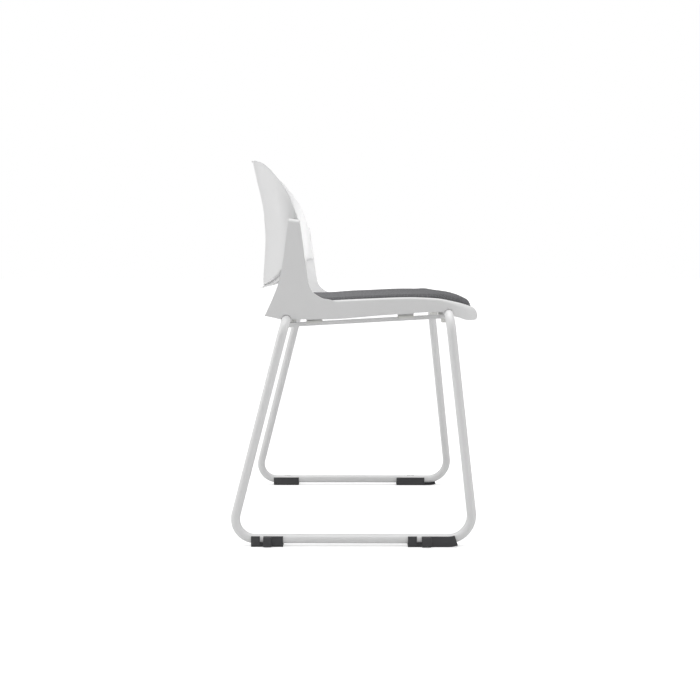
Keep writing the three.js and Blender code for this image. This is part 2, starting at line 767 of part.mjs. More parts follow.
// Tongue of the upright, between the back shell and its cover
const degrees = Math.PI / 180;
const tongueLow = backBottom + tongue.aboveBack;
function tonguePatch(side) {
  const skins = [back.wingClearance + tongue.thickness, back.wingClearance].map((offset) => {
    const grid = [];
    for (let i = 0; i <= 2; i += 1) {
      const z = tongueLow + (tongue.height * i) / 2;
      const row = [];
      for (let k = 0; k <= 6; k += 1) {
        const angle = (tongue.tipAngle + ((tongue.rootAngle - tongue.tipAngle) * k) / 6) * degrees;
        row.push(backPoint(side * angle, z, offset));
      }
      if (side > 0) row.reverse();
      grid.push(row);
    }
    return grid;
  });
  return shellBetween(skins[0], skins[1], false);
}
const backScrewPlaces = [];
for (const side of [1, -1]) {
  for (const step of [-0.5, 0.5]) {
    const z = tongueLow + tongue.height / 2 + step * backScrew.spacing;
    const angle = side * tongue.screwAngle * degrees;
    const normal = backNormal(angle, z);
    const face = backPoint(angle, z, back.wingClearance + tongue.thickness + clearance);
    backScrewPlaces.push({ side, face, inward: normal.clone().negate() });
  }
}

// Places under the seat
const bendStart = legTopX - sled.crossBend;
const railX = bendStart - rail.inset + clearance - rail.width / 2 + tube.wall;
const clampX = railX - rail.width / 2 - clamp.fromRail - clamp.width / 2;
const railRear = new THREE.Vector2(rearCrossY, rearCrossZ - tubeRadius - clearance - rail.height / 2);
const railFront = new THREE.Vector2(frontCrossY, frontCrossZ - rail.frontDrop);
const railRun = railFront.clone().sub(railRear).normalize();
const railUp = new THREE.Vector2(railRun.y, -railRun.x);
const railAt = (y) => {
  const t = (y - railRear.x) / railRun.x;
  return railRear.clone().addScaledVector(railRun, t);
};
const railPoint = (y, up) => {
  const p = railAt(y).addScaledVector(railUp, up);
  return [p.x, p.y];
};
const down = new THREE.Vector3(0, 0, -1);
const up = new THREE.Vector3(0, 0, 1);
const railUp3 = new THREE.Vector3(0, railUp.x, railUp.y);
const railPadPlaces = [['rear', rearCrossY - railPad.rearInset], ['front', frontCrossY + railPad.frontInset]];
const clampPlaces = [['rear', rearCrossY, rearCrossZ], ['front', frontCrossY, frontCrossZ]];
const padScrewX = seat.ribSpread / 2 + padScrew.ribGap;
const padScrewPlaces = [seat.rear - padScrew.rearInset, seatFront + padScrew.frontInset];

// A bar with slanted ends square to the rail, between two heights over its middle line
function alongRail(from, to, low, high, x0, x1) {
  const corners = [railPoint(from, low), railPoint(to, low), railPoint(to, high), railPoint(from, high)];
  return extrudeX(outlineOf(corners), x0, x1);
}

// What rounds the top edge of an upright: a bar along the slanted top, with a quarter round taken out
function rollCutter() {
  const tip = (shares, share) => new THREE.Vector3(0, ...uprightPoint(shares[share]));
  const rearTip = tip(uprightRearShares, uprightRearShares.length - 1);
  const frontTip = tip(uprightFrontShares, 0);
  const along = rearTip.clone().sub(frontTip);
  const start = frontTip.clone().addScaledVector(along, -overrun / along.length());
  const length = along.length() + 2 * overrun;
  const far = upright.roll + overrun;
  const bar = block(0, far, 0, length, 0, far);
  bar.rotateX(Math.atan2(along.z, along.y));
  bar.translate(halfSeat - upright.roll, start.y, start.z);
  start.x = halfSeat - upright.roll;
  return solid(bar).subtract(solid(rod(upright.roll, start, along, length, 4 * facets.tube)));
}

function uprightPlate(side) {
  const turned = (geometry) => solid(side > 0 ? geometry : mirrored(geometry));
  const plate = extrudeX(uprightOutline(), uprightInner, halfSeat, upright.edge);
  const rebate = block(uprightInner - overrun, uprightInner + upright.rebate, uprightEnd, uprightRear,
    wingLowZ - back.wingGap, uprightTop + upright.roll + overrun);
  const pocketTop = rimZ(uprightEnd) - seat.sideRim - seat.pan;
  const pocket = block(uprightInner + seat.wall, halfSeat - seat.wall, uprightEnd + seat.wall,
    rearCrossY - tubeRadius - 2 * seat.wall, skirtZ(uprightEnd) - overrun, pocketTop);
  const roll = turned(skin(rollCutter()));
  return cutBy(turned(plate), [turned(rebate), turned(pocket), roll]).add(solid(tonguePatch(side)));
}

function seatShell() {
  const rearTop = [];
  for (let i = 0; i <= 8; i += 1) {
    const x = halfSeat * (1 - i / 4) * 0.97;
    rearTop.push([x, bedZ(x, seat.rear) - embed]);
  }
  const rearEdge = halfSeat * 0.97;
  const rearLow = seat.height - seat.rearSkirt - seat.padRecess;
  const rearSkirt = extrudeY(outlineOf([[-rearEdge, rearLow], [rearEdge, rearLow], ...rearTop]),
    seat.rear - seat.wall, seat.rear);
  const ribs = [];
  for (const side of [-1, 1]) {
    const x = (side * seat.ribSpread) / 2;
    const points = [];
    for (let i = 0; i <= 10; i += 1) {
      const y = seat.rear - seat.wall / 2 - (seat.depth - seat.noseRim - seat.wall) * (i / 10);
      points.push([y, bedZ(x, y) - embed]);
    }
    const low = [...points].reverse().map(([y, z]) => [y, z - seat.ribDepth]);
    ribs.push(solid(extrudeX(outlineOf([...points, ...low]), x - seat.rib / 2, x + seat.rib / 2)));
  }
  for (const y of [seat.rear - seat.crossRib, ...railPadPlaces.map(([, place]) => place)]) {
    const points = [];
    for (let i = 0; i <= 8; i += 1) {
      const x = (halfSeat - seat.wall - embed) * (1 - i / 4);
      points.push([x, bedZ(x, y) - embed]);
    }
    const low = [...points].reverse().map(([x, z]) => [x, z - seat.ribDepth]);
    ribs.push(solid(extrudeY(outlineOf([...points, ...low]), y - seat.rib / 2, y + seat.rib / 2)));
  }
  let shell = joined([solid(seatPan()), uprightPlate(1), uprightPlate(-1), solid(rearSkirt), ...ribs]);
  shell = cutBy(shell, [tubeCutter(4 * clearance)]);
  const bosses = [];
  const holes = [];
  const channels = [];
  for (const side of [-1, 1]) {
    for (const [, y, z] of clampPlaces) {
      const x = side * clampX;
      const top = bedZ(x, y) - seat.pan + embed;
      bosses.push(solid(block(x - clamp.width / 2, x + clamp.width / 2,
        y - clamp.length / 2, y + clamp.length / 2, z + clearance, top)));
      const start = new THREE.Vector3(x - clamp.width, y, z);
      const bore = (tubeRadius + clearance) / polygonShare;
      channels.push(solid(rod(bore, start, xAxis, clamp.width * 2, 2 * facets.tube)));
      for (const end of [-0.5, 0.5]) {
        holes.push(solid(rod(clampScrew.shank / 2 + holeGap,
          new THREE.Vector3(x, y + end * clamp.hole, z - overrun), up,
          overrun + clampScrew.length - clamp.flange + clearance)));
      }
    }
    for (const [, y] of railPadPlaces) {
      const x = side * railX;
      const foot = rail.height / 2 + railPad.top + 2 * clearance;
      const half = railPad.length / 2;
      const top = bedZ(x, y) - seat.pan + embed;
      const [ahead, behind] = [railPoint(y - half, foot), railPoint(y + half, foot)];
      const outline = outlineOf([ahead, [ahead[0], top], [behind[0], top], behind]);
      bosses.push(solid(extrudeX(outline, x - rail.width / 2, x + rail.width / 2)));
      const start = railPoint(y, 0);
      const from = new THREE.Vector3(x, start[0], start[1]);
      const depth = railScrew.length - rail.height / 2 + 3 * clearance;
      holes.push(solid(rod(railScrew.shank / 2 + holeGap, from, railUp3, depth)));
    }
  }
  const fitted = cutBy(joined(bosses), channels);
  shell = shell.add(fitted);
  for (const side of [-1, 1]) {
    for (const y of padScrewPlaces) {
      const x = side * padScrewX;
      const from = new THREE.Vector3(x, y, bedZ(x, y) - 2 * seat.pan);
      holes.push(solid(rod(padScrew.shank / 2 + holeGap, from, up, 3 * seat.pan)));
    }
  }
  for (const { face, inward } of backScrewPlaces) {
    const from = face.clone().addScaledVector(inward, -overrun);
    holes.push(solid(rod(backScrew.shank / 2 + holeGap, from, inward, 2 * overrun + tongue.thickness)));
  }
  return skin(cutBy(shell, holes));
}
place('seat_shell', seatShell(), whitePlastic);

// Back shell with blind screw holes
function backWithHoles() {
  const holes = backScrewPlaces.map(({ face, inward }) => solid(rod(backScrew.shank / 2 + holeGap,
    face.clone().addScaledVector(inward, tongue.thickness), inward,
    backScrew.length - tongue.thickness + clearance)));
  return skin(cutBy(solid(backShell()), holes));
}
place('back_shell', backWithHoles(), whitePlastic);

// Rear cover with its posts
function rearCover() {
  const posts = [];
  for (const side of [-1, 1]) {
    for (const height of [0.32, 0.72]) {
      const z = backBottom + back.height * height;
      const angle = side * 32 * degrees;
      const inward = backNormal(angle, z).negate();
      const from = backPoint(angle, z, cover.standOff + embed);
      posts.push(solid(rod(cover.post / 2, from, inward, cover.standOff + embed - 2 * clearance)));
    }
  }
  return skin(joined([solid(coverShell()), ...posts]));
}
place('back_cover', rearCover(), whitePlastic);

// Seat pad: board, foam and cover follow the bed of the shell
function padSheet(inset, low, high, rounded, crown = 0) {
  const half = halfSeat - seat.sideRim - seat.padRecess / 2 - pad.edgeGap - inset;
  const outline = planOutline({
    rear: padRear - inset,
    front: seatFront + seat.noseRim + seat.padRecess / 2 + pad.edgeGap + inset,
    half,
    rearHalf: halfSeat - pad.rearSideInset - inset,
    cornerDepth: seat.cornerDepth - seat.noseRim,
    rearCorner: pad.rearCorner,
    rows: facets.padRows,
  });
  const top = [];
  const bottom = [];
  outline.forEach((point, i) => {
    const outward = outwardAt(outline, i);
    const frontness = outward.y < 0 ? outward.y ** 2 : 0;
    const thin = pad.frontThin * frontness;
    const edge = rounded.map(([share, drop]) => ({
      inset: pad.edgeRound * share,
      z: (x, y) => bedZ(x, y) + high - thin * (1 - share) - pad.edgeRound * drop,
    }));
    const crowned = (x, y, share) => bedZ(x, y) + high + crown * (1 - share ** 2);
    top.push(seatRow(point, outward, edge, facets.padAcross, crowned));
    const flat = rounded.map(([share]) => ({ inset: pad.edgeRound * share, z: (x, y) => bedZ(x, y) + low }));
    bottom.push(seatRow(point, outward, flat, facets.padAcross, (x, y) => bedZ(x, y) + low));
  });
  return foldedSlab(top, bottom);
}

// Closed slab whose first and last rows fold together
function foldedSlab(top, bottom) {
  const corners = [];
  const quad = (a, b, c, d) => corners.push(a, b, c, a, c, d);
  const rows = top.length;
  const columns = top[0].length;
  for (let i = 0; i < rows - 1; i += 1) {
    for (let k = 0; k < columns - 1; k += 1) {
      quad(top[i][k], top[i][k + 1], top[i + 1][k + 1], top[i + 1][k]);
      quad(bottom[i][k], bottom[i + 1][k], bottom[i + 1][k + 1], bottom[i][k + 1]);
    }
    quad(top[i][0], top[i + 1][0], bottom[i + 1][0], bottom[i][0]);
    quad(top[i][columns - 1], bottom[i][columns - 1], bottom[i + 1][columns - 1], top[i + 1][columns - 1]);
  }
  const half = Math.floor(columns / 2);
  for (const [row, turned] of [[0, true], [rows - 1, false]]) {
    for (let k = 0; k < half; k += 1) {
      const far = columns - 1 - k;
      const a = top[row];
      const b = bottom[row];
      if (k + 1 > far - 1) continue;
      if (turned) {
        quad(a[k], a[far], a[far - 1], a[k + 1]);
        quad(b[k], b[k + 1], b[far - 1], b[far]);
      } else {
        quad(a[k], a[k + 1], a[far - 1], a[far]);
        quad(b[k], b[far], b[far - 1], b[k + 1]);
      }
    }
    const a = top[row];
    const b = bottom[row];
    if (turned) quad(a[0], b[0], b[columns - 1], a[columns - 1]);
    else quad(a[0], a[columns - 1], b[columns - 1], b[0]);
  }
  return surface(corners);
}

const boardGap = pad.seatGap;
const boardTop = boardGap + pad.board;
const foamTop = boardTop + pad.layerGap + pad.foam;
const padHeight = foamTop + clearance + pad.fabric;
const roundEdge = [[0, 0.55], [0.2, 0.22], [0.55, 0.05], [1, 0]];
const squareEdge = [[0, 0], [1, 0]];
const foamInset = pad.fabric + clearance;
const boardInset = foamInset + pad.board;
const padScrewHoles = [];
for (const side of [-1, 1]) {
  for (const y of padScrewPlaces) padScrewHoles.push({ x: side * padScrewX, y });
}
const boardHoles = padScrewHoles.map(({ x, y }) => {
  const from = new THREE.Vector3(x, y, bedZ(x, y) - overrun);
  return solid(rod(padScrew.shank / 2 + holeGap, from, up, boardTop + 2 * overrun));
});
const board = solid(padSheet(boardInset, boardGap, boardTop, squareEdge));
place('pad_board', skin(cutBy(board, boardHoles)), birchBoard);
place('pad_foam', padSheet(foamInset, boardTop + pad.layerGap, foamTop, roundEdge, pad.crown), paleFoam);
const hollow = padSheet(pad.fabric, -pad.edgeRound, padHeight - pad.fabric, roundEdge, pad.crown);
const hull = padSheet(0, boardGap, padHeight, roundEdge, pad.crown);
place('pad_cover', skin(solid(hull).subtract(solid(hollow))), greyFabric);

// Rails, welded between the cross tubes
function railBar() {
  const end = frontCrossY;
  const bar = alongRail(rearCrossY + rail.tail, end, -rail.height / 2, rail.height / 2,
    -rail.width / 2, rail.width / 2);
  const cope = rod((tubeRadius + clearance) / polygonShare, new THREE.Vector3(-rail.width, end, frontCrossZ),
    xAxis, 2 * rail.width, 2 * facets.tube);
  const cutEnd = block(-rail.width, rail.width, end - tube.diameter, end + tubeRadius * 0.6,
    frontCrossZ - tube.diameter, frontCrossZ + tube.diameter);
  const holes = railPadPlaces.map(([, y]) => {
    const low = railPoint(y, -rail.height / 2);
    const start = new THREE.Vector3(0, low[0], low[1]);
    const shank = railScrew.shank / 2 + holeGap;
    const head = railScrew.head / 2 + 2 * holeGap;
    return turned([
      [0, -overrun], [head, -overrun], [head, clearance], [shank, railScrew.headHeight + clearance],
      [shank, rail.height + overrun], [0, rail.height + overrun],
    ], start, railUp3);
  });
  return skin(cutBy(solid(bar), [solid(cope), solid(cutEnd), ...holes]));
}
const railGeometry = railBar();
const railPadGeometry = railPadPlaces.map(([, y]) => {
  const half = railPad.length / 2;
  const side = rail.width / 2 + clearance;
  const wide = side + railPad.lip;
  const top = rail.height / 2 + clearance;
  const cap = solid(alongRail(y + half, y - half, top - railPad.lipDepth, top + railPad.top, -wide, wide));
  const reach = half + overrun;
  const room = solid(alongRail(y + reach, y - reach, -rail.height, top, -side, side));
  const low = railPoint(y, 0);
  const start = new THREE.Vector3(0, low[0], low[1]);
  const hole = rod(railScrew.shank / 2 + holeGap, start, railUp3, railPad.length);
  return skin(cap.subtract(room).subtract(solid(hole)));
});
for (const [sideName, side] of [['left', 1], ['right', -1]]) {
  const bar = place(`seat_rail_${sideName}`, railGeometry, whitePaint);
  bar.position.x = side * railX;
  railPadPlaces.forEach(([name, y], i) => {
    const piece = place(`rail_pad_${name}_${sideName}`, railPadGeometry[i], whitePlastic);
    piece.position.x = side * railX;
    const low = railPoint(y, -rail.height / 2 + clearance);
    const from = new THREE.Vector3(side * railX, low[0], low[1]);
    place(`rail_screw_${name}_${sideName}`, countersunkScrew(railScrew, from, railUp3), zincSteel);
  });
}

// Clamps: a saddle under the tube with two ears for the screws
function clampBody() {
  const half = clamp.length / 2;
  const belly = clamp.bellyLength / 2;
  const shape = outlineOf([
    [-half, -clearance], [-half, -clamp.flange], [-belly, -clamp.flange],
    [-belly, -clamp.belly + clamp.chamfer],
    [-belly + clamp.chamfer, -clamp.belly], [belly - clamp.chamfer, -clamp.belly],
    [belly, -clamp.belly + clamp.chamfer], [belly, -clamp.flange], [half, -clamp.flange], [half, -clearance],
  ]);
  const body = solid(extrudeX(shape, -clamp.width / 2, clamp.width / 2));
  const channel = solid(rod((tubeRadius + clearance) / polygonShare, new THREE.Vector3(-clamp.width, 0, 0),
    xAxis, 2 * clamp.width, 2 * facets.tube));
  const holes = [-0.5, 0.5].map((end) => solid(rod(clampScrew.shank / 2 + holeGap,
    new THREE.Vector3(0, end * clamp.hole, overrun), down, clamp.flange + 2 * overrun)));
  return skin(cutBy(body, [channel, ...holes]));
}
const clampGeometry = clampBody();
for (const [sideName, side] of [['left', 1], ['right', -1]]) {
  for (const [name, y, z] of clampPlaces) {
    const piece = place(`tube_clamp_${name}_${sideName}`, clampGeometry, whitePlastic);
    piece.position.set(side * clampX, y, z);
    for (const [endName, end] of [['a', -0.5], ['b', 0.5]]) {
      const from = new THREE.Vector3(side * clampX, y + end * clamp.hole, z - clamp.flange - clearance);
      place(`clamp_screw_${name}_${sideName}_${endName}`, panHeadScrew(clampScrew, from, up), zincSteel);
    }
  }
}

// Screws of pad and back
padScrewHoles.forEach(({ x, y }) => {
  const name = `pad_screw_${y > 0 ? 'rear' : 'front'}_${x > 0 ? 'left' : 'right'}`;
  const from = new THREE.Vector3(x, y, bedZ(x, y) - seat.pan - 2 * clearance);
  place(name, panHeadScrew(padScrew, from, up), zincSteel);
});
backScrewPlaces.forEach(({ side, face, inward }, i) => {
  const name = `back_screw_${i % 2 ? 'upper' : 'lower'}_${side > 0 ? 'left' : 'right'}`;
  place(name, panHeadScrew(backScrew, face, inward), zincSteel);
});

// Glides: a channel that snaps over the runner, with a slot and a lug on its outer side
function channelSection() {
  const outer = tubeRadius + clearance + glide.wall;
  const outerTop = glide.outerHeight - runnerZ;
  const innerTop = glide.innerHeight - runnerZ;
  return outlineOf([
    [outer, outerTop], [0, outerTop], [0, innerTop], [-outer, innerTop],
    [-outer, glide.edgeChamfer - runnerZ], [-outer + glide.edgeChamfer, -runnerZ],
    [outer - glide.edgeChamfer, -runnerZ], [outer, glide.edgeChamfer - runnerZ],
  ]);
}
function glideBody(path, tail, slotLength, lugLength) {
  const body = solid(sweep(channelSection(), path));
  const outer = tubeRadius + clearance + glide.wall;
  const slotStart = tail - glide.head;
  const slotEnd = slotStart - slotLength;
  const face = runnerX + outer;
  const high = glide.outerHeight + overrun;
  const slot = block(runnerX, face + overrun, slotEnd, slotStart, glide.slotFloor, high);
  const recess = block(face - glide.slotInset, face + overrun, slotEnd, slotStart, -overrun, high);
  const tip = face + glide.lugReach;
  const root = face - glide.wall / 2;
  const lug = outlineOf([
    [root, glide.edgeChamfer], [tip - glide.lugChamfer, glide.lugChamfer], [tip, 2 * glide.lugChamfer],
    [tip, glide.outerHeight - glide.lugChamfer], [tip - glide.lugChamfer, glide.outerHeight],
    [root, glide.outerHeight],
  ]);
  return cutBy(body, [solid(slot), solid(recess)]).add(solid(extrudeY(lug, slotEnd - lugLength, slotEnd)))
    .subtract(tubeCutter(clearance));
}
const sideways = new THREE.Vector3(1, 0, 0);
const rearGlideTail = rearFootY - glide.rearInset;
const rearGlideEnd = rearGlideTail - glide.head - glide.rearSlot - glide.rearLug - glide.rearTail;
const rearGlidePath = new BentPath([
  new THREE.Vector3(runnerX, rearGlideTail, runnerZ), new THREE.Vector3(runnerX, rearGlideEnd, runnerZ),
], [], sideways);
const rearGlide = skin(glideBody(rearGlidePath, rearGlideTail, glide.rearSlot, glide.rearLug));

// Part of the front floor bend that the front glide follows
class GlidePath extends BentPath {
  constructor(start, bendFrom, radius, wrap) {
    super([start, bendFrom], [], sideways);
    const centre = bendFrom.clone().add(new THREE.Vector3(0, 0, radius));
    const arm = new THREE.Vector3(0, 0, -radius);
    const axis = new THREE.Vector3(-1, 0, 0);
    for (let part = 0; part < 3; part += 1) {
      this.stations.push({ centre, arm, axis, turn: (wrap / radius) * (facets.bend / 3), part });
    }
    this.steps = this.stations.length;
  }
}
const frontBendFrom = loopPath.stations.findLast((station, i) => station.from
  && i < loopPath.steps - 1 && station.from.z === station.to.z).to;
const frontGlideEnd = frontBendFrom.y - glide.frontWrap;
const innerCut = block(runnerX - tube.diameter, runnerX, frontGlideEnd - tube.diameter,
  frontGlideEnd + glide.innerTail, glide.innerStep, tube.diameter + runnerZ);
const frontGlideTail = frontFootY + glide.frontReach;
const frontGlidePath = new GlidePath(new THREE.Vector3(runnerX, frontGlideTail, runnerZ),
  frontBendFrom.clone(), sled.frontFloorBend, glide.frontWrap);
const frontGlide = skin(glideBody(frontGlidePath, frontGlideTail, glide.frontSlot, glide.frontLug)
  .subtract(solid(innerCut)));
for (const [sideName, side] of [['left', 1], ['right', -1]]) {
  place(`glide_rear_${sideName}`, side > 0 ? rearGlide : mirrored(rearGlide), blackNylon);
  place(`glide_front_${sideName}`, side > 0 ? frontGlide : mirrored(frontGlide), blackNylon);
}

export default chair;
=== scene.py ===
"""Looks of a sled base visitor chair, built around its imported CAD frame.

Lengths are metres in the frame's axes: +Z up, the sitter faces -Y, and the chair mirrors at X = 0.
Sizes are typed in millimetres and multiplied by MM, and they repeat those of the CAD source.
"""

import json
import logging
import math
from collections.abc import Callable, Iterator, Sequence
from contextlib import contextmanager
from dataclasses import dataclass, field
from enum import Enum

import bmesh
import bpy
import numpy as np
from mathutils import Matrix, Vector


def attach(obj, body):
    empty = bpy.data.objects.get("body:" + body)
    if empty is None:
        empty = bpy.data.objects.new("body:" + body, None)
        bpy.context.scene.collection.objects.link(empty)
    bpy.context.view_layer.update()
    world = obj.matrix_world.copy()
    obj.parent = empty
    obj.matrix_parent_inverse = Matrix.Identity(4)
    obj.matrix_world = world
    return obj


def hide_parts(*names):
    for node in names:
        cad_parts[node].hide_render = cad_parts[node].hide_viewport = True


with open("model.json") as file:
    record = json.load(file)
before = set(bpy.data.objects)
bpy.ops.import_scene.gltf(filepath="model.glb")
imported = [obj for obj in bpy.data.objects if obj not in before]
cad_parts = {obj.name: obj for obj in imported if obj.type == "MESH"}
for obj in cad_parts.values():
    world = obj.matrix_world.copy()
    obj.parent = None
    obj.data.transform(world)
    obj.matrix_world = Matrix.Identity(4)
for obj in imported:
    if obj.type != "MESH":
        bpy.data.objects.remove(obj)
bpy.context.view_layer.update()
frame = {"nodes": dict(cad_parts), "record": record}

log = logging.getLogger("chair")
MM = 0.001
QUARTER = math.pi / 2
ACROSS = Vector((1, 0, 0))
UP = Vector((0, 0, 1))
BODY = "root"
WEAVE_MAP = "weave"
CURVE_SAMPLES = 2001
PLAN_SAMPLES = 1500
BACK_SAMPLES = 4000
# Vertices closer than this are merged.
DOUBLE = 0.002 * MM
# Points closer than this to the mirror plane lie on it.
ON_MIRROR = 0.01 * MM
# Range that holds most of a noise's values.
NOISE_SPAN = {"From Min": 0.3, "From Max": 0.7}
# Scale of a wave texture that has one band a unit.
WAVE_SHARE = 3.1416 / 20
Values = float | np.ndarray
Curve = Callable[[Values], Values]
Rows = Sequence[tuple[float, float]]
Sockets = tuple[dict, dict]
Finishes = dict[str, bpy.types.Material]
Piece = bpy.types.Object
Tree = bpy.types.NodeTree
Socket = bpy.types.NodeSocket


# Modelling helpers.


def in_mm(*sizes: float) -> tuple[float, ...]:
    """Sizes in millimetres, turned to metres."""
    return tuple(size * MM for size in sizes)


class Side(Enum):
    """Side of the chair, from the sitter's seat."""

    LEFT = 1
    RIGHT = -1

    @property
    def label(self) -> str:
        """Word that names of pieces use."""
        return self.name.lower()


class Cut(Enum):
    """What a boolean modifier does with its second body."""

    TAKE = "DIFFERENCE"
    JOIN = "UNION"


def curve_through(rows: Rows) -> Curve:
    """Smooth curve through a table, with no overshoot.

    Args:
        rows: Pairs of place and value, by rising place.

    Returns:
        Function from place to value.
    """
    places, values = np.array(rows, dtype=float).T
    steps, rises = np.diff(places), np.diff(values)
    slopes = rises / steps
    leaning = np.zeros(len(rows))
    leaning[0], leaning[-1] = slopes[0], slopes[-1]
    # Between rows, the harmonic mean of the slopes on both sides, or level where the curve turns.
    for i, (before, after) in enumerate(zip(slopes, slopes[1:]), 1):
        if before * after > 0:
            leaning[i] = 2 * before * after / (before + after)
    fine = np.linspace(places[0], places[-1], CURVE_SAMPLES)
    i = np.clip(np.searchsorted(places, fine) - 1, 0, len(steps) - 1)
    t = (fine - places[i]) / steps[i]
    eased = values[i] + t * t * (3 - 2 * t) * rises[i]
    curve = eased + t * (1 - t) * ((1 - t) * leaning[i] - t * leaning[i + 1]) * steps[i]
    return lambda place: np.interp(place, fine, curve)


def smooth_step(value: Values, low: float, high: float) -> Values:
    """Eased share, from 0 to 1, of a value's way from low to high."""
    t = np.clip((value - low) / (high - low), 0, 1)
    return t * t * (3 - 2 * t)


def pick_only(piece: Piece) -> None:
    """Selects one object and makes it active."""
    bpy.ops.object.select_all(action="DESELECT")
    piece.select_set(True)
    bpy.context.view_layer.objects.active = piece


@contextmanager
def editing(piece: Piece, everything: bool = True) -> Iterator[bmesh.types.BMesh]:
    """Edit mode on one piece.

    Args:
        piece: Mesh object to edit.
        everything: Whether all of it starts selected, or none.

    Yields:
        The edit mesh.
    """
    pick_only(piece)
    bpy.ops.object.mode_set(mode="EDIT")
    bpy.ops.mesh.select_mode(type="VERT")
    bpy.ops.mesh.select_all(action="SELECT" if everything else "DESELECT")
    try:
        yield bmesh.from_edit_mesh(piece.data)
    finally:
        bmesh.update_edit_mesh(piece.data)
        bpy.ops.object.mode_set(mode="OBJECT")


def discard(*pieces: Piece) -> None:
    """Removes pieces that were only copied from."""
    for piece in pieces:
        bpy.data.objects.remove(piece)


def settle(piece: Piece) -> Piece:
    """Puts a piece's place into its mesh, so that its object sits at the origin."""
    pick_only(piece)
    bpy.ops.object.transform_apply(location=True, rotation=True, scale=True)
    return piece


def named(piece: Piece, name: str) -> Piece:
    """Names an object and its mesh."""
    piece.name = name
    piece.data.name = name
    return piece


def modify(piece: Piece, kind: str, **settings: object) -> Piece:
    """Adds a modifier and applies it.

    Args:
        piece: Object that it works on.
        kind: Blender's name of the modifier.
        **settings: Its properties.

    Returns:
        The piece.
    """
    modifier = piece.modifiers.new(kind.title(), kind)
    for key, value in settings.items():
        setattr(modifier, key, value)
    pick_only(piece)
    bpy.ops.object.modifier_apply(modifier=modifier.name)
    return piece


def combine(piece: Piece, tool: Piece, cut: Cut) -> Piece:
    """Joins a body to a piece or cuts it out, and removes the body.

    Args:
        piece: Piece that is kept.
        tool: Body that is used up.
        cut: Whether it is joined or taken away.

    Returns:
        The piece.
    """
    modify(piece, "BOOLEAN", object=tool, operation=cut.value, solver="EXACT")
    bpy.data.objects.remove(tool)
    return piece


def soften(piece: Piece, width: float, segments: int = 2, degrees: float = 35) -> Piece:
    """Rounds a piece's edges that are sharper than an angle, and gives it back."""
    return modify(
        piece, "BEVEL", width=width, segments=segments, limit_method="ANGLE",
        angle_limit=math.radians(degrees), use_clamp_overlap=True, miter_outer="MITER_ARC",
    )


def shade(piece: Piece, degrees: float = 40) -> Piece:
    """Shades a piece smooth, apart from edges sharper than an angle."""
    pick_only(piece)
    bpy.ops.object.shade_smooth_by_angle(angle=math.radians(degrees))
    return piece


def outward(piece: Piece) -> Piece:
    """Merges a closed mesh's doubles and turns its faces outwards."""
    with editing(piece):
        bpy.ops.mesh.remove_doubles(threshold=DOUBLE)
        bpy.ops.mesh.normals_make_consistent(inside=False)
    return piece


def box_at(low: Sequence[float], high: Sequence[float]) -> Piece:
    """Block between two corners.

    Args:
        low: Lowest corner.
        high: Highest corner.

    Returns:
        Block, with its place in its mesh.
    """
    middle = [(a + b) / 2 for a, b in zip(low, high)]
    bpy.ops.mesh.primitive_cube_add(size=1, location=middle)
    block = bpy.context.object
    block.scale = [b - a for a, b in zip(low, high)]
    return settle(block)


def rod_at(radius: float, start: Vector, along: Vector, length: float, sides: int = 32) -> Piece:
    """Round bar from a point along a direction.

    Args:
        radius: Its radius.
        start: Middle of its first end.
        along: Its direction.
        length: Its length.
        sides: Facets round it.

    Returns:
        Bar, with its place in its mesh.
    """
    turn = along.to_track_quat("Z", "Y").to_euler()
    bpy.ops.mesh.primitive_cylinder_add(
        vertices=sides, radius=radius, depth=length, rotation=turn,
        location=start + along.normalized() * (length / 2),
    )
    return settle(bpy.context.object)


def own_copy(piece: Piece) -> Piece:
    """Copy of a piece with its own mesh."""
    copy = piece.copy()
    copy.data = piece.data.copy()
    bpy.context.scene.collection.objects.link(copy)
    return copy


def mirrored_copy(piece: Piece, name: str) -> Piece:
    """Copy of a piece for the other side of the chair.

    Args:
        piece: Piece of one side.
        name: Name of the copy.

    Returns:
        Copy with its own mesh.
    """
    copy = own_copy(piece)
    copy.scale.x = -1
    settle(copy)
    with editing(copy):
        bpy.ops.mesh.normals_make_consistent(inside=False)
    return named(copy, name)


def moved_copy(piece: Piece, name: str, matrix: Matrix) -> Piece:
    """Copy of a piece, placed by a matrix.

    Args:
        piece: Piece to copy.
        name: Name of the copy.
        matrix: Where it goes.

    Returns:
        Copy with its own mesh, its place in its mesh.
    """
    copy = own_copy(piece)
    copy.matrix_world = matrix
    return named(settle(copy), name)


def sheet_of(points: np.ndarray) -> Piece:
    """Grid primitive whose vertices are laid on a surface.

    Args:
        points: Rows of points, as an array of rows, columns and 3.

    Returns:
        Open sheet.
    """
    rows, columns = points.shape[:2]
    bpy.ops.mesh.primitive_grid_add(x_subdivisions=columns - 1, y_subdivisions=rows - 1, size=1)
    sheet = bpy.context.object
    sheet.data.vertices.foreach_set("co", points.astype(np.float32).ravel())
    sheet.data.update()
    return sheet


def merged(pieces: Sequence[Piece]) -> Piece:
    """Joins objects into the first of them."""
    pick_only(pieces[0])
    for piece in pieces[1:]:
        piece.select_set(True)
    if len(pieces) > 1:
        bpy.ops.object.join()
    return pieces[0]


def lay_weave(sheet: Piece, weave: np.ndarray) -> None:
    """Gives a sheet a map of its unrolled threads.

    Args:
        sheet: Sheet made by sheet_of.
        weave: Unrolled place of each vertex, as an array of rows, columns and 2.
    """
    flat = weave.reshape(-1, 2)
    layer = sheet.data.uv_layers.active
    layer.name = WEAVE_MAP
    corners = np.empty(len(sheet.data.loops), dtype=np.int32)
    sheet.data.loops.foreach_get("vertex_index", corners)
    layer.uv.foreach_set("vector", flat[corners].astype(np.float32).ravel())


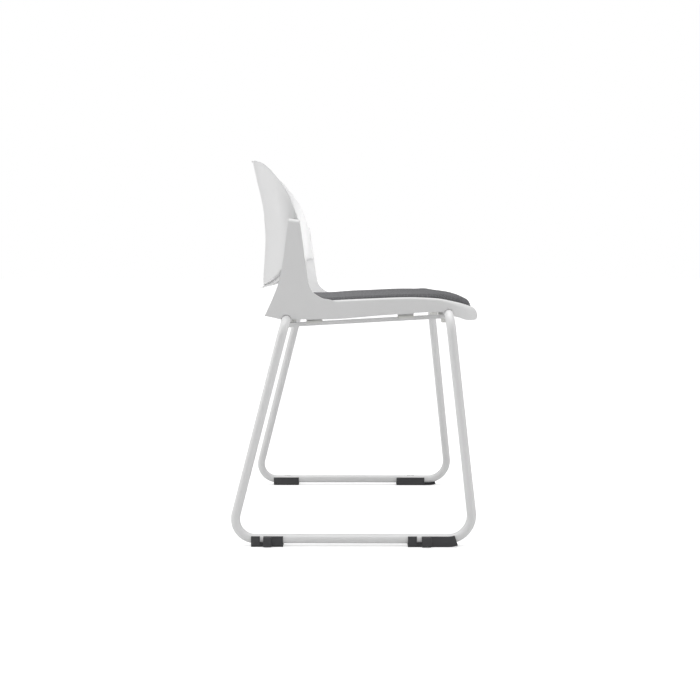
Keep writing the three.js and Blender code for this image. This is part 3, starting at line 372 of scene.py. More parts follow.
def closed(skins: Sequence[Piece]) -> Piece:
    """Joins two open skins and bridges their borders."""
    shell = merged(skins)
    with editing(shell, everything=False):
        bpy.ops.mesh.select_non_manifold(extend=False)
        bpy.ops.mesh.bridge_edge_loops()
    return outward(shell)


def slab(outer: np.ndarray, inner: np.ndarray) -> Piece:
    """Closed body between two skins of equal grids."""
    return closed([sheet_of(outer), sheet_of(inner)])


def walled(outer: np.ndarray, inner: np.ndarray, weave: np.ndarray | None = None) -> Piece:
    """Closed shell between the left halves of two skins, mirrored to the whole.

    Args:
        outer: Points of the outer skin's half, at x of 0 or more.
        inner: Points of the inner skin's half, in the same order.
        weave: Unrolled places of the outer skin's points, where it is cloth.

    Returns:
        Closed shell.
    """
    skins = []
    for points in (outer, inner):
        skin = sheet_of(points)
        if weave is not None:
            lay_weave(skin, weave if points is outer else points[..., :2])
        modify(skin, "MIRROR", use_axis=(True, False, False), use_clip=False, merge_threshold=ON_MIRROR)
        with editing(skin):
            bpy.ops.mesh.remove_doubles(threshold=DOUBLE)
        skins.append(skin)
    return closed(skins)


def prism(outline: Sequence[Vector], along: Vector) -> Piece:
    """Outline drawn with a circle primitive's points, filled and extruded.

    Args:
        outline: Its corners, in one plane.
        along: Direction and length of the extrusion.

    Returns:
        Closed body.
    """
    bpy.ops.mesh.primitive_circle_add(vertices=len(outline), radius=1, fill_type="NGON")
    body = bpy.context.object
    with editing(body) as mesh:
        mesh.verts.ensure_lookup_table()
        for vertex, place in zip(mesh.verts, outline):
            vertex.co = place
        bpy.ops.mesh.extrude_region_move(TRANSFORM_OT_translate={"value": along})
    return outward(body)


# Camera, floor and light.


@dataclass(frozen=True)
class SoftBox:
    """Rectangular lamp: its place and target, its size, its power in watts and its spread in degrees."""

    place: tuple[float, float, float]
    aim: tuple[float, float, float]
    size: tuple[float, float]
    power: float
    spread: float = 180.0

    def build(self) -> None:
        """Adds the lamp, hidden from the camera."""
        turn = (Vector(self.aim) - Vector(self.place)).to_track_quat("-Z", "Y").to_euler()
        bpy.ops.object.light_add(type="AREA", location=self.place, rotation=turn)
        bpy.context.object.visible_camera = False
        lamp = bpy.context.object.data
        lamp.shape = "RECTANGLE"
        lamp.size, lamp.size_y = self.size
        lamp.energy = self.power
        lamp.spread = math.radians(self.spread)


@dataclass
class Studio:
    """Camera of the photograph, pale floor and soft lights."""

    eye: Vector = field(default_factory=lambda: Vector((-2103.6, 7.35, 544.7)) * MM)
    look: Vector = field(default_factory=lambda: Vector((0.99604, 0.00563, -0.0889)))
    lens: float = 50.0
    sensor: float = 36.0
    floor_size: float = 60.0
    sky_light: float = 0.33
    sun: float = 1.75
    sun_angle: float = 60.0
    boxes: tuple[SoftBox, ...] = (
        # Behind, on the camera's side, for the rear edges.
        SoftBox((-1.0, 1.9, 1.1), (-0.1, 0.1, 0.6), (0.3, 1.0), 2.5),
        # Over the middle, for the faces between the uprights.
        SoftBox((-0.12, 0.05, 1.3), (-0.12, 0.05, 0.5), (0.15, 0.7), 1.0),
        # In front, for the back's face, the nose and the front legs.
        SoftBox((-0.45, -1.75, 1.1), (0, 0.1, 0.6), (0.3, 0.9), 3.5),
        # Behind the middle, for the back's rear.
        SoftBox((0.0, 2.4, 1.2), (0, 0.15, 0.6), (0.5, 1.2), 11.5),
        # Small and narrow, between the uprights, for the far wing.
        SoftBox((-0.15, -0.16, 0.64), (0.2, 0.06, 0.60), (0.2, 0.2), 0.175, 70),
    )

    def build(self) -> None:
        """Makes the camera, the floor, the sky and the lights."""
        bpy.context.scene.view_settings.view_transform = "Standard"
        self.camera()
        self.floor()
        self.sky()
        self.lights()

    def camera(self) -> None:
        """Adds the camera, set as the photograph's."""
        bpy.ops.object.camera_add(location=self.eye, rotation=self.look.to_track_quat("-Z", "Y").to_euler())
        camera = bpy.context.object
        camera.data.lens = self.lens
        camera.data.sensor_width = self.sensor
        bpy.context.scene.camera = camera

    def floor(self) -> None:
        """Adds the floor, a wide sheet of white paper."""
        bpy.ops.mesh.primitive_plane_add(size=self.floor_size)
        floor = named(bpy.context.object, "floor")
        floor.data.materials.append(PaperFloor().material())

    def sky(self) -> None:
        """Sets a sky that is white to look at and softer as a light."""
        world = bpy.data.worlds.new("studio")
        world.use_nodes = True
        tree = world.node_tree
        tree.nodes.clear()
        soft, seen = [
            add_node(tree, "Background", {"Color": (1, 1, 1, 1), "Strength": strength})
            for strength in (self.sky_light, 1.0)
        ]
        path = add_node(tree, "LightPath")
        links = {0: path.outputs["Is Camera Ray"], 1: soft.outputs[0], 2: seen.outputs[0]}
        mix = add_node(tree, "MixShader", links=links)
        add_node(tree, "OutputWorld", links={"Surface": mix.outputs[0]})
        bpy.context.scene.world = world

    def lights(self) -> None:
        """Adds one broad light overhead and the soft boxes."""
        bpy.ops.object.light_add(type="SUN", location=(0, 0, 3), rotation=(0, 0, 0))
        sun = bpy.context.object.data
        sun.energy = self.sun
        sun.angle = math.radians(self.sun_angle)
        for box in self.boxes:
            box.build()


# Finishes.


def colour(code: str) -> tuple[float, float, float, float]:
    """Linear colour from an sRGB hex value.

    Args:
        code: Six hex digits after a hash.

    Returns:
        Red, green, blue and alpha.
    """
    parts = [int(code[i : i + 2], 16) / 255 for i in (1, 3, 5)]
    linear = [c / 12.92 if c <= 0.04045 else ((c + 0.055) / 1.055) ** 2.4 for c in parts]
    return linear[0], linear[1], linear[2], 1.0


def add_node(
    tree: Tree, kind: str, settings: dict | None = None, links: dict | None = None
) -> bpy.types.Node:
    """Adds a shader node.

    Args:
        tree: Node tree that gets it.
        kind: Blender's name of its type, after ShaderNode.
        settings: Values by input socket or property.
        links: Output sockets by input socket.

    Returns:
        The node.
    """
    node = tree.nodes.new("ShaderNode" + kind)
    for key, value in (settings or {}).items():
        if isinstance(key, int) or key in node.inputs:
            node.inputs[key].default_value = value
        else:
            setattr(node, key, value)
    for key, source in (links or {}).items():
        tree.links.new(source, node.inputs[key])
    return node


def per_metre(size_mm: float) -> float:
    """Scale of a noise or wave whose features are this many millimetres wide."""
    return 1 / (size_mm * MM)


def mixed_colour(tree: Tree, factor: Socket, low: str, high: str) -> Socket:
    """Socket with a blend of two colours, low at a factor of 0 and high at 1."""
    settings = {"data_type": "RGBA", 6: colour(low), 7: colour(high)}
    return add_node(tree, "Mix", settings, {0: factor}).outputs[2]


@dataclass(frozen=True)
class Finish:
    """Finish that ends in a Principled shader. Each kind of finish adds its own pattern."""

    name: str

    def surface(self, tree: Tree) -> Sockets:
        """Constant and patterned sockets of the shader."""
        raise NotImplementedError

    def material(self) -> bpy.types.Material:
        """Builds the material."""
        material = bpy.data.materials.new(self.name)
        material.use_nodes = True
        tree = material.node_tree
        tree.nodes.clear()
        shader = add_node(tree, "BsdfPrincipled", *self.surface(tree))
        add_node(tree, "OutputMaterial", links={"Surface": shader.outputs[0]})
        return material


@dataclass(frozen=True)
class PaperFloor(Finish):
    """Seamless background paper: matt, lit from behind so that it stays white in the picture."""

    name: str = "white_background_paper"
    shade: str = "#e6e6e6"
    glow: float = 0.55

    def surface(self, tree: Tree) -> Sockets:
        """Sockets of matt paper whose glow only the camera sees."""
        seen = add_node(tree, "LightPath").outputs["Is Camera Ray"]
        glow = add_node(tree, "Math", {"operation": "MULTIPLY", 1: self.glow}, {0: seen})
        constant = {
            "Base Color": colour(self.shade), "Roughness": 0.9, "Specular IOR Level": 0.1,
            "Emission Color": (1.0, 1.0, 1.0, 1.0),
        }
        return constant, {"Emission Strength": glow.outputs[0]}


@dataclass(frozen=True)
class GrainedPlastic(Finish):
    """Injection moulded plastic from a spark-eroded tool: a satin skin with a very fine grain."""

    shade: str
    cloud: str
    roughness: float = 0.46
    grain_mm: float = 0.9
    depth_mm: float = 0.012
    flow_mm: float = 70

    def surface(self, tree: Tree) -> Sockets:
        """Sockets of the grain, and of the resin's colour."""
        place = add_node(tree, "TexCoord").outputs["Object"]
        # The real grain is about 0.1 mm, too fine to show, so it is drawn as coarse as a step away can see.
        grain = add_node(
            tree, "TexNoise",
            {"Scale": per_metre(self.grain_mm), "Detail": 3.0, "Roughness": 0.6}, {"Vector": place},
        ).outputs[0]
        # Slow clouding of the resin where it flowed in the mould.
        flow = add_node(
            tree, "TexNoise", {"Scale": per_metre(self.flow_mm), "Detail": 2.0}, {"Vector": place}
        )
        rough = add_node(
            tree, "MapRange",
            {**NOISE_SPAN, "To Min": self.roughness - 0.05, "To Max": self.roughness + 0.06},
            {"Value": grain},
        )
        bump = add_node(
            tree, "Bump", {"Strength": 0.35, "Distance": self.depth_mm * MM}, {"Height": grain}
        )
        return {"IOR": 1.49}, {
            "Base Color": mixed_colour(tree, flow.outputs[0], self.shade, self.cloud),
            "Roughness": rough.outputs[0], "Normal": bump.outputs[0],
        }


@dataclass(frozen=True)
class PowderCoat(Finish):
    """Baked powder coat on steel: smooth and satin, with the soft ripple called orange peel."""

    name: str = "white_powder_coat"
    shade: str = "#f1f1f1"
    cloud: str = "#ededed"
    peel_mm: float = 2.4
    depth_mm: float = 0.02
    cloud_mm: float = 55

    def surface(self, tree: Tree) -> Sockets:
        """Sockets of the ripple, under a thin clear coat."""
        place = add_node(tree, "TexCoord").outputs["Object"]
        peel = add_node(
            tree, "TexNoise", {"Scale": per_metre(self.peel_mm), "Detail": 1.5}, {"Vector": place}
        )
        dust = add_node(
            tree, "TexNoise", {"Scale": per_metre(self.cloud_mm), "Detail": 3.0}, {"Vector": place}
        ).outputs[0]
        rough = add_node(
            tree, "MapRange", {**NOISE_SPAN, "To Min": 0.3, "To Max": 0.42}, {"Value": dust}
        )
        depth = {"Strength": 0.3, "Distance": self.depth_mm * MM}
        bump = add_node(tree, "Bump", depth, {"Height": peel.outputs[0]})
        return {"IOR": 1.5, "Coat Weight": 0.15, "Coat Roughness": 0.2}, {
            "Base Color": mixed_colour(tree, dust, self.shade, self.cloud),
            "Roughness": rough.outputs[0], "Normal": bump.outputs[0],
        }


@dataclass(frozen=True)
class FilledNylon(Finish):
    """Glass filled nylon, moulded in black: dull, faintly streaked, and scuffed grey near the floor."""

    name: str = "black_glide_nylon"
    shade: str = "#3e3e40"
    cloud: str = "#4a4a4c"
    scuff: str = "#77777a"
    fibre_mm: float = 1.6
    depth_mm: float = 0.03
    clean_mm: float = 1.6
    worn_mm: float = 0.2

    def surface(self, tree: Tree) -> Sockets:
        """Sockets of the streaks, and of the scuffs low on the glide."""
        place = add_node(tree, "TexCoord").outputs["Object"]
        fibre = add_node(
            tree, "TexNoise",
            {"Scale": per_metre(self.fibre_mm), "Detail": 4.0, "Roughness": 0.7}, {"Vector": place},
        ).outputs[0]
        body = mixed_colour(tree, fibre, self.shade, self.cloud)
        height = add_node(tree, "SeparateXYZ", links={0: place})
        span = {"From Min": self.clean_mm * MM, "From Max": self.worn_mm * MM, "To Min": 0.0, "To Max": 0.8}
        low = add_node(tree, "MapRange", span, {"Value": height.outputs[2]})
        worn = add_node(tree, "Math", {"operation": "MULTIPLY"}, {0: low.outputs[0], 1: fibre})
        scuffed = {"data_type": "RGBA", 7: colour(self.scuff)}
        tone = add_node(tree, "Mix", scuffed, {0: worn.outputs[0], 6: body})
        rough = add_node(
            tree, "MapRange", {**NOISE_SPAN, "To Min": 0.5, "To Max": 0.62}, {"Value": fibre}
        )
        bump = add_node(
            tree, "Bump", {"Strength": 0.4, "Distance": self.depth_mm * MM}, {"Height": fibre}
        )
        return {"IOR": 1.53}, {
            "Base Color": tone.outputs[2], "Roughness": rough.outputs[0], "Normal": bump.outputs[0]
        }


@dataclass(frozen=True)
class ZincPlate(Finish):
    """Bright zinc on turned steel: metallic, slightly cloudy, with fine lathe marks."""

    name: str = "zinc_plated_steel"
    shade: str = "#c3c6ca"
    cloud: str = "#aeb1b6"
    cloud_mm: float = 4
    mark_mm: float = 0.5
    depth_mm: float = 0.01

    def surface(self, tree: Tree) -> Sockets:
        """Sockets of the plating and the marks under it."""
        place = add_node(tree, "TexCoord").outputs["Object"]
        cloud, marks = [
            add_node(
                tree, "TexNoise", {"Scale": per_metre(size), "Detail": detail}, {"Vector": place}
            ).outputs[0]
            for size, detail in ((self.cloud_mm, 3.0), (self.mark_mm, 1.0))
        ]
        rough = add_node(
            tree, "MapRange", {**NOISE_SPAN, "To Min": 0.22, "To Max": 0.4}, {"Value": cloud}
        )
        bump = add_node(
            tree, "Bump", {"Strength": 0.2, "Distance": self.depth_mm * MM}, {"Height": marks}
        )
        return {"Metallic": 1.0}, {
            "Base Color": mixed_colour(tree, cloud, self.shade, self.cloud),
            "Roughness": rough.outputs[0], "Normal": bump.outputs[0],
        }


@dataclass(frozen=True)
class CutFoam(Finish):
    """Cut polyurethane foam: matt, pale, with open cells, darker in their pits as painted shade."""

    name: str = "cut_foam"
    shade: str = "#ddd5b6"
    pit_shade: str = "#b9ad86"
    cell_mm: float = 1.6
    depth_mm: float = 0.4

    def surface(self, tree: Tree) -> Sockets:
        """Sockets of the open cells, with painted shade in their pits."""
        place = add_node(tree, "TexCoord").outputs["Object"]
        cells = add_node(
            tree, "TexVoronoi", {"Scale": per_metre(self.cell_mm)}, {"Vector": place}
        ).outputs[0]
        bump = add_node(
            tree, "Bump", {"Strength": 0.7, "Distance": self.depth_mm * MM}, {"Height": cells}
        )
        # Painted shade: the darker tone fills the pits of the cells, where the bump sinks.
        tone = mixed_colour(tree, cells, self.pit_shade, self.shade)
        return {"Roughness": 0.95, "Specular IOR Level": 0.2}, {"Base Color": tone, "Normal": bump.outputs[0]}


@dataclass(frozen=True)
class BirchPly(Finish):
    """Thin birch plywood: pale veneer with long grain along the chair."""

    name: str = "birch_plywood"
    shade: str = "#d8bd8e"
    grain: str = "#b88f5c"
    grain_mm: float = 3.0
    grain_length: float = 0.06
    depth_mm: float = 0.05

    def surface(self, tree: Tree) -> Sockets:
        """Sockets of the veneer's grain."""
        place = add_node(tree, "TexCoord").outputs["Object"]
        stretched = add_node(
            tree, "Mapping", {"Scale": (1.0, self.grain_length, 1.0)}, {"Vector": place}
        )
        grain = add_node(
            tree, "TexNoise", {"Scale": per_metre(self.grain_mm), "Detail": 4.0, "Distortion": 0.6},
            {"Vector": stretched.outputs[0]},
        ).outputs[0]
        bump = add_node(
            tree, "Bump", {"Strength": 0.3, "Distance": self.depth_mm * MM}, {"Height": grain}
        )
        tone = mixed_colour(tree, grain, self.grain, self.shade)
        return {"Roughness": 0.62}, {"Base Color": tone, "Normal": bump.outputs[0]}


@dataclass(frozen=True)
class WovenWool(Finish):
    """Woven upholstery wool in dark grey: one yarn tone with lighter flecks in a plain weave, painted shade
    where the threads dip, dull with a soft sheen.
    """

    name: str = "dark_grey_woven_upholstery"
    yarn: str = "#7e7e80"
    shadow: str = "#5c5c5e"
    fleck: str = "#909092"
    thread_mm: float = 1.5
    fuzz_mm: float = 3.2
    depth_mm: float = 0.12

    def surface(self, tree: Tree) -> Sockets:
        """Sockets of the weave, on the cover's own map."""
        place = add_node(tree, "UVMap", {"uv_map": WEAVE_MAP}).outputs[0]
        # Warp and weft are two crossed waves. The real thread is 0.7 mm, and is drawn twice as wide to show.
        waves = [
            add_node(
                tree, "TexWave",
                {
                    "bands_direction": axis, "Scale": per_metre(self.thread_mm) * WAVE_SHARE,
                    "Distortion": 0.6, "Detail": 1.0, "Detail Scale": 2.0,
                },
                {"Vector": place},
            ).outputs["Fac"]
            for axis in ("X", "Y")
        ]
        over = add_node(tree, "Math", {"operation": "MULTIPLY"}, dict(enumerate(waves))).outputs[0]
        fuzz = add_node(
            tree, "TexNoise",
            {"Scale": per_metre(self.fuzz_mm), "Detail": 5.0, "Roughness": 0.7}, {"Vector": place},
        ).outputs[0]
        # Painted shade: the shadow tone darkens the weave where the threads dip under each other, at the
        # bump's low places.
        body = mixed_colour(tree, over, self.shadow, self.yarn)
        span = {"From Min": 0.5, "From Max": 0.72, "To Min": 0.0, "To Max": 0.55}
        speck = add_node(tree, "MapRange", span, {"Value": fuzz})
        flecked = {"data_type": "RGBA", 7: colour(self.fleck)}
        tone = add_node(tree, "Mix", flecked, {0: speck.outputs[0], 6: body})
        height = add_node(tree, "Math", {"operation": "ADD"}, {0: over, 1: fuzz}).outputs[0]
        bump = add_node(
            tree, "Bump", {"Strength": 0.5, "Distance": self.depth_mm * MM}, {"Height": height}
        )
        constant = {
            "Roughness": 0.92, "Specular IOR Level": 0.2, "Sheen Weight": 0.06, "Sheen Roughness": 0.5,
            "Sheen Tint": (0.8, 0.8, 0.82, 1.0),
        }
        return constant, {"Base Color": tone.outputs[2], "Normal": bump.outputs[0]}


# Finish of each of the record's material slots.
SLOT_FINISHES = {
    "shell_plastic": GrainedPlastic("white_polypropylene", "#f0f0f0", "#ececec"),
    "spacer_plastic": GrainedPlastic("natural_nylon", "#e6e6e3", "#deded9", 0.4, 1.2),
    "frame_paint": PowderCoat(),
    "glide_nylon": FilledNylon(),
    "plain_steel": ZincPlate(),
    "pad_foam": CutFoam(),
    "pad_board": BirchPly(),
    "pad_fabric": WovenWool(),
}


def dress(piece: Piece, finishes: Finishes, slot: str, nodes: Sequence[str] = ()) -> Piece:
    """Gives a finished piece the material of its slot and its body, and hides the CAD nodes that it stands
    for.

    Args:
        piece: Finished piece.
        finishes: Material of each slot.
        slot: Record's material slot.
        nodes: CAD nodes that it replaces.

    Returns:
        The piece.
    """
    piece.data.materials.clear()
    piece.data.materials.append(finishes[slot])
    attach(piece, BODY)
    if nodes:
        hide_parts(*nodes)
    log.info("%s: %d faces", piece.name, len(piece.data.polygons))
    return piece


def dress_nodes(finishes: Finishes) -> None:
    """Gives each CAD node that still shows the finish of its slot."""
    slots = {row["node"]: row["material_slot"] for row in frame["record"]["subparts"]}
    for name, node in frame["nodes"].items():
        if node.hide_render:
            continue
        for material_slot in node.material_slots:
            material_slot.link = "OBJECT"
            material_slot.material = finishes[slots[name]]
        log.info("%s: CAD node in %s", name, slots[name])


@dataclass(frozen=True)
class Screw:
    """Screw with a hex socket, its shank along +Z from the origin."""

    shank: float
    head: float
    head_height: float
    length: float
    countersunk: bool = False
    sides: int = 28
    round_share: float = 0.42
    seat_band_share: float = 0.43
    seat_share: float = 0.12
    sunk_shank_share: float = 0.5
    pan_shank_share: float = 0.3
    point_start_share: float = 0.9
    point_share: float = 0.6
    socket_share: float = 0.27
    socket_depth_share: float = 0.6

    def build(self) -> Piece:
        """Builds the screw: the head is a short cylinder, rounded by a bevel or scaled into a cone, then the
        shank is joined and the socket cut.
        """
        screw = rod_at(self.head / 2, -UP * self.head_height, UP, self.head_height, self.sides)
        if self.countersunk:
            self.sink_head(screw)
        else:
            soften(screw, self.head_height * self.round_share, 4)
            self.flatten(screw)
        self.add_shank(screw)
        self.cut_socket(screw)
        return shade(screw, 35)

    def flatten(self, screw: Piece) -> None:
        """Keeps the pan head's seat flat after its rounding."""
        with editing(screw) as mesh:
            for vertex in mesh.verts:
                if vertex.co.z > -self.head_height * self.seat_band_share:
                    vertex.co.z = max(vertex.co.z, -self.head_height * self.seat_share)

    def sink_head(self, screw: Piece) -> None:
        """Turns the head into a cone that narrows to the shank."""
        with editing(screw) as mesh:
            for vertex in mesh.verts:
                up = vertex.co.z > -self.head_height / 2
                share = self.shank / self.head if up else 1.0
                vertex.co.x *= share
                vertex.co.y *= share
                vertex.co.z += self.head_height

    def add_shank(self, screw: Piece) -> None:
        """Adds the shank with a short point."""
        start = self.head_height * (self.sunk_shank_share if self.countersunk else -self.pan_shank_share)
        shank = rod_at(self.shank / 2, UP * start, UP, self.length - start, self.sides)
        with editing(shank) as mesh:
            for vertex in mesh.verts:
                if vertex.co.z > self.length * self.point_start_share:
                    vertex.co.x *= self.point_share
                    vertex.co.y *= self.point_share
        combine(screw, shank, Cut.JOIN)

    def cut_socket(self, screw: Piece) -> None:
        """Cuts the hex socket into the head."""
        low = 0.0 if self.countersunk else -self.head_height
        depth = self.head_height * self.socket_depth_share
        socket = rod_at(self.head * self.socket_share, UP * (low - depth), UP, 2 * depth, 6)
        combine(screw, socket, Cut.TAKE)


@dataclass
class SledFrame:
    """Bent tube frame in two halves, with the weld beads at its seams."""

    finishes: Finishes
    diameter: float = 18 * MM
    wall: float = 2 * MM
    seam: float = 0.6 * MM
    runner: Vector = field(default_factory=lambda: Vector((262.5, 0, 14.0)) * MM)
    leg_top_x: float = 236.5 * MM
    rear_foot: float = 250.4 * MM
    front_foot: float = 222.5 * MM
    rear_cross: Vector = field(default_factory=lambda: Vector((0, 141.5, 436.43)) * MM)
    front_cross: Vector = field(default_factory=lambda: Vector((0, -173.9, 446.405)) * MM)
    bends: tuple[float, ...] = (36 * MM, 38 * MM, 46 * MM, 36 * MM)
    sides: int = 40
    bend_steps: int = 18
    bead: float = 1.5 * MM
    bead_sink: float = 0.5
    bead_width: float = 1.1
    bead_swell: float = 0.018
    bead_ripples: int = 30
    ripple: float = 1.9 * MM
    ripple_swell: float = 1.16
    weld_start: float = 0.55
    weld_growth: float = 1.7
    weld_end: float = 0.6

    @property
    def radius(self) -> float:
        """Radius of the tube."""
        return self.diameter / 2

    @property
    def crosses(self) -> dict[str, Vector]:
        """Middles of the two cross tubes."""
        return {"rear": self.rear_cross, "front": self.front_cross}

    def corners(self) -> list[Vector]:
        """Corner points of the left half's middle line, from the rear seam to the front one."""
        top, foot, height = self.leg_top_x, self.runner.x, self.runner.z
        return [
            Vector((self.seam / 2, self.rear_cross.y, self.rear_cross.z)),
            Vector((top, self.rear_cross.y, self.rear_cross.z)),
            Vector((foot, self.rear_foot, height)),
            Vector((foot, -self.front_foot, height)),
            Vector((top, self.front_cross.y, self.front_cross.z)),
            Vector((self.seam / 2, self.front_cross.y, self.front_cross.z)),
        ]

    def bend_at(self, i: int) -> tuple[Vector, Vector, Vector, float]:
        """Bend at one of the corners.

        Args:
            i: Number of the corner, from 1.

        Returns:
            Its start, its centre, its axis and the angle that it turns.
        """
        before, corner, after = self.corners()[i - 1 : i + 2]
        back, ahead = (before - corner).normalized(), (after - corner).normalized()
        turn = math.pi - back.angle(ahead)
        radius = self.bends[i - 1]
        start = corner + back * (radius * math.tan(turn / 2))
        centre = corner + (back + ahead).normalized() * (radius / math.cos(turn / 2))
        return start, centre, (-back).cross(ahead).normalized(), turn

    def loop(self, radius: float, overlap: float = 0.0) -> Piece:
        """Left half of the loop as a closed bar: a disc extruded along the runs and spun round the bends.

        Args:
            radius: Its radius.
            overlap: How far its ends pass the seams.

        Returns:
            Closed bar.
        """
        corners = self.corners()
        for end in (0, -1):
            corners[end].x -= overlap
        bpy.ops.mesh.primitive_circle_add(
            vertices=self.sides, radius=radius, location=corners[0], rotation=(0, QUARTER, 0),
            fill_type="NGON",
        )
        tube = settle(bpy.context.object)
        with editing(tube):
            here = corners[0]
            for i in range(1, len(corners) - 1):
                start, centre, axis, turn = self.bend_at(i)
                bpy.ops.mesh.extrude_region_move(TRANSFORM_OT_translate={"value": start - here})
                bpy.ops.mesh.spin(steps=self.bend_steps, angle=turn, center=centre, axis=-axis)
                here = centre + Matrix.Rotation(turn, 3, axis) @ (start - centre)
            bpy.ops.mesh.extrude_region_move(TRANSFORM_OT_translate={"value": corners[-1] - here})
        return outward(tube)

    def tube(self) -> Piece:
        """Left half of the loop, hollow and open at its ends."""
        tube = self.loop(self.radius)
        with editing(tube, everything=False) as mesh:
            bpy.ops.mesh.select_mode(type="FACE")
            for face in mesh.faces:
                face.select_set(len(face.verts) > 4)
            bpy.ops.mesh.delete(type="ONLY_FACE")
        modify(tube, "SOLIDIFY", thickness=self.wall, offset=-1.0)
        return named(shade(tube), "sled_tube_left_bent")

    def weld(self, name: str, start: Vector, end: Vector, radius: float) -> Piece:
        """Short rippled weld bead along a line.

        Args:
            name: Name of the piece.
            start: Its first end.
            end: Its last end.
            radius: Its radius.

        Returns:
            The bead.
        """
        along = end - start
        steps = max(6, round(along.length / self.ripple) * 2)
        bpy.ops.mesh.primitive_circle_add(
            vertices=12, radius=radius * self.weld_start, location=start, fill_type="NGON",
            rotation=along.to_track_quat("Z", "Y").to_euler(),
        )
        bead = settle(bpy.context.object)
        with editing(bead) as mesh:
            for step in range(steps):
                bpy.ops.mesh.extrude_region_move(TRANSFORM_OT_translate={"value": along / steps})
                grow = self.ripple_swell if step % 2 == 0 else 1 / self.ripple_swell
                if step == steps - 1:
                    grow *= self.weld_end
                if step == 0:
                    grow = self.weld_growth
                middle = start + along * ((step + 1) / steps)
                for vertex in (v for v in mesh.verts if v.select):
                    vertex.co = middle + (vertex.co - middle) * grow
        return named(shade(outward(bead), 60), name)

    def seam_bead(self, name: str, middle: Vector) -> Piece:
        """Weld bead round the seam between the two tube halves.

        Args:
            name: Name of the piece.
            middle: Middle of the seam.

        Returns:
            The bead.
        """
        bpy.ops.mesh.primitive_torus_add(
            major_segments=60, minor_segments=10, major_radius=self.radius - self.bead_sink * self.bead,
            minor_radius=self.bead, location=middle, rotation=(0, QUARTER, 0),
        )
        bead = settle(bpy.context.object)
        with editing(bead) as mesh:
            for vertex in mesh.verts:
                arm = vertex.co - middle
                arm.x *= self.bead_width
                turn = math.atan2(arm.z, arm.y)
                vertex.co = middle + arm * (1 + self.bead_swell * math.cos(self.bead_ripples * turn))
        return named(shade(outward(bead), 60), name)

    def build(self) -> None:
        """Builds and dresses the two halves and their beads."""
        left = self.tube()
        right = mirrored_copy(left, "sled_tube_right_bent")
        dress(left, self.finishes, "frame_paint", ["sled_tube_left"])
        dress(right, self.finishes, "frame_paint", ["sled_tube_right"])
        for name, middle in self.crosses.items():
            dress(self.seam_bead(f"seam_bead_{name}", middle), self.finishes, "frame_paint")


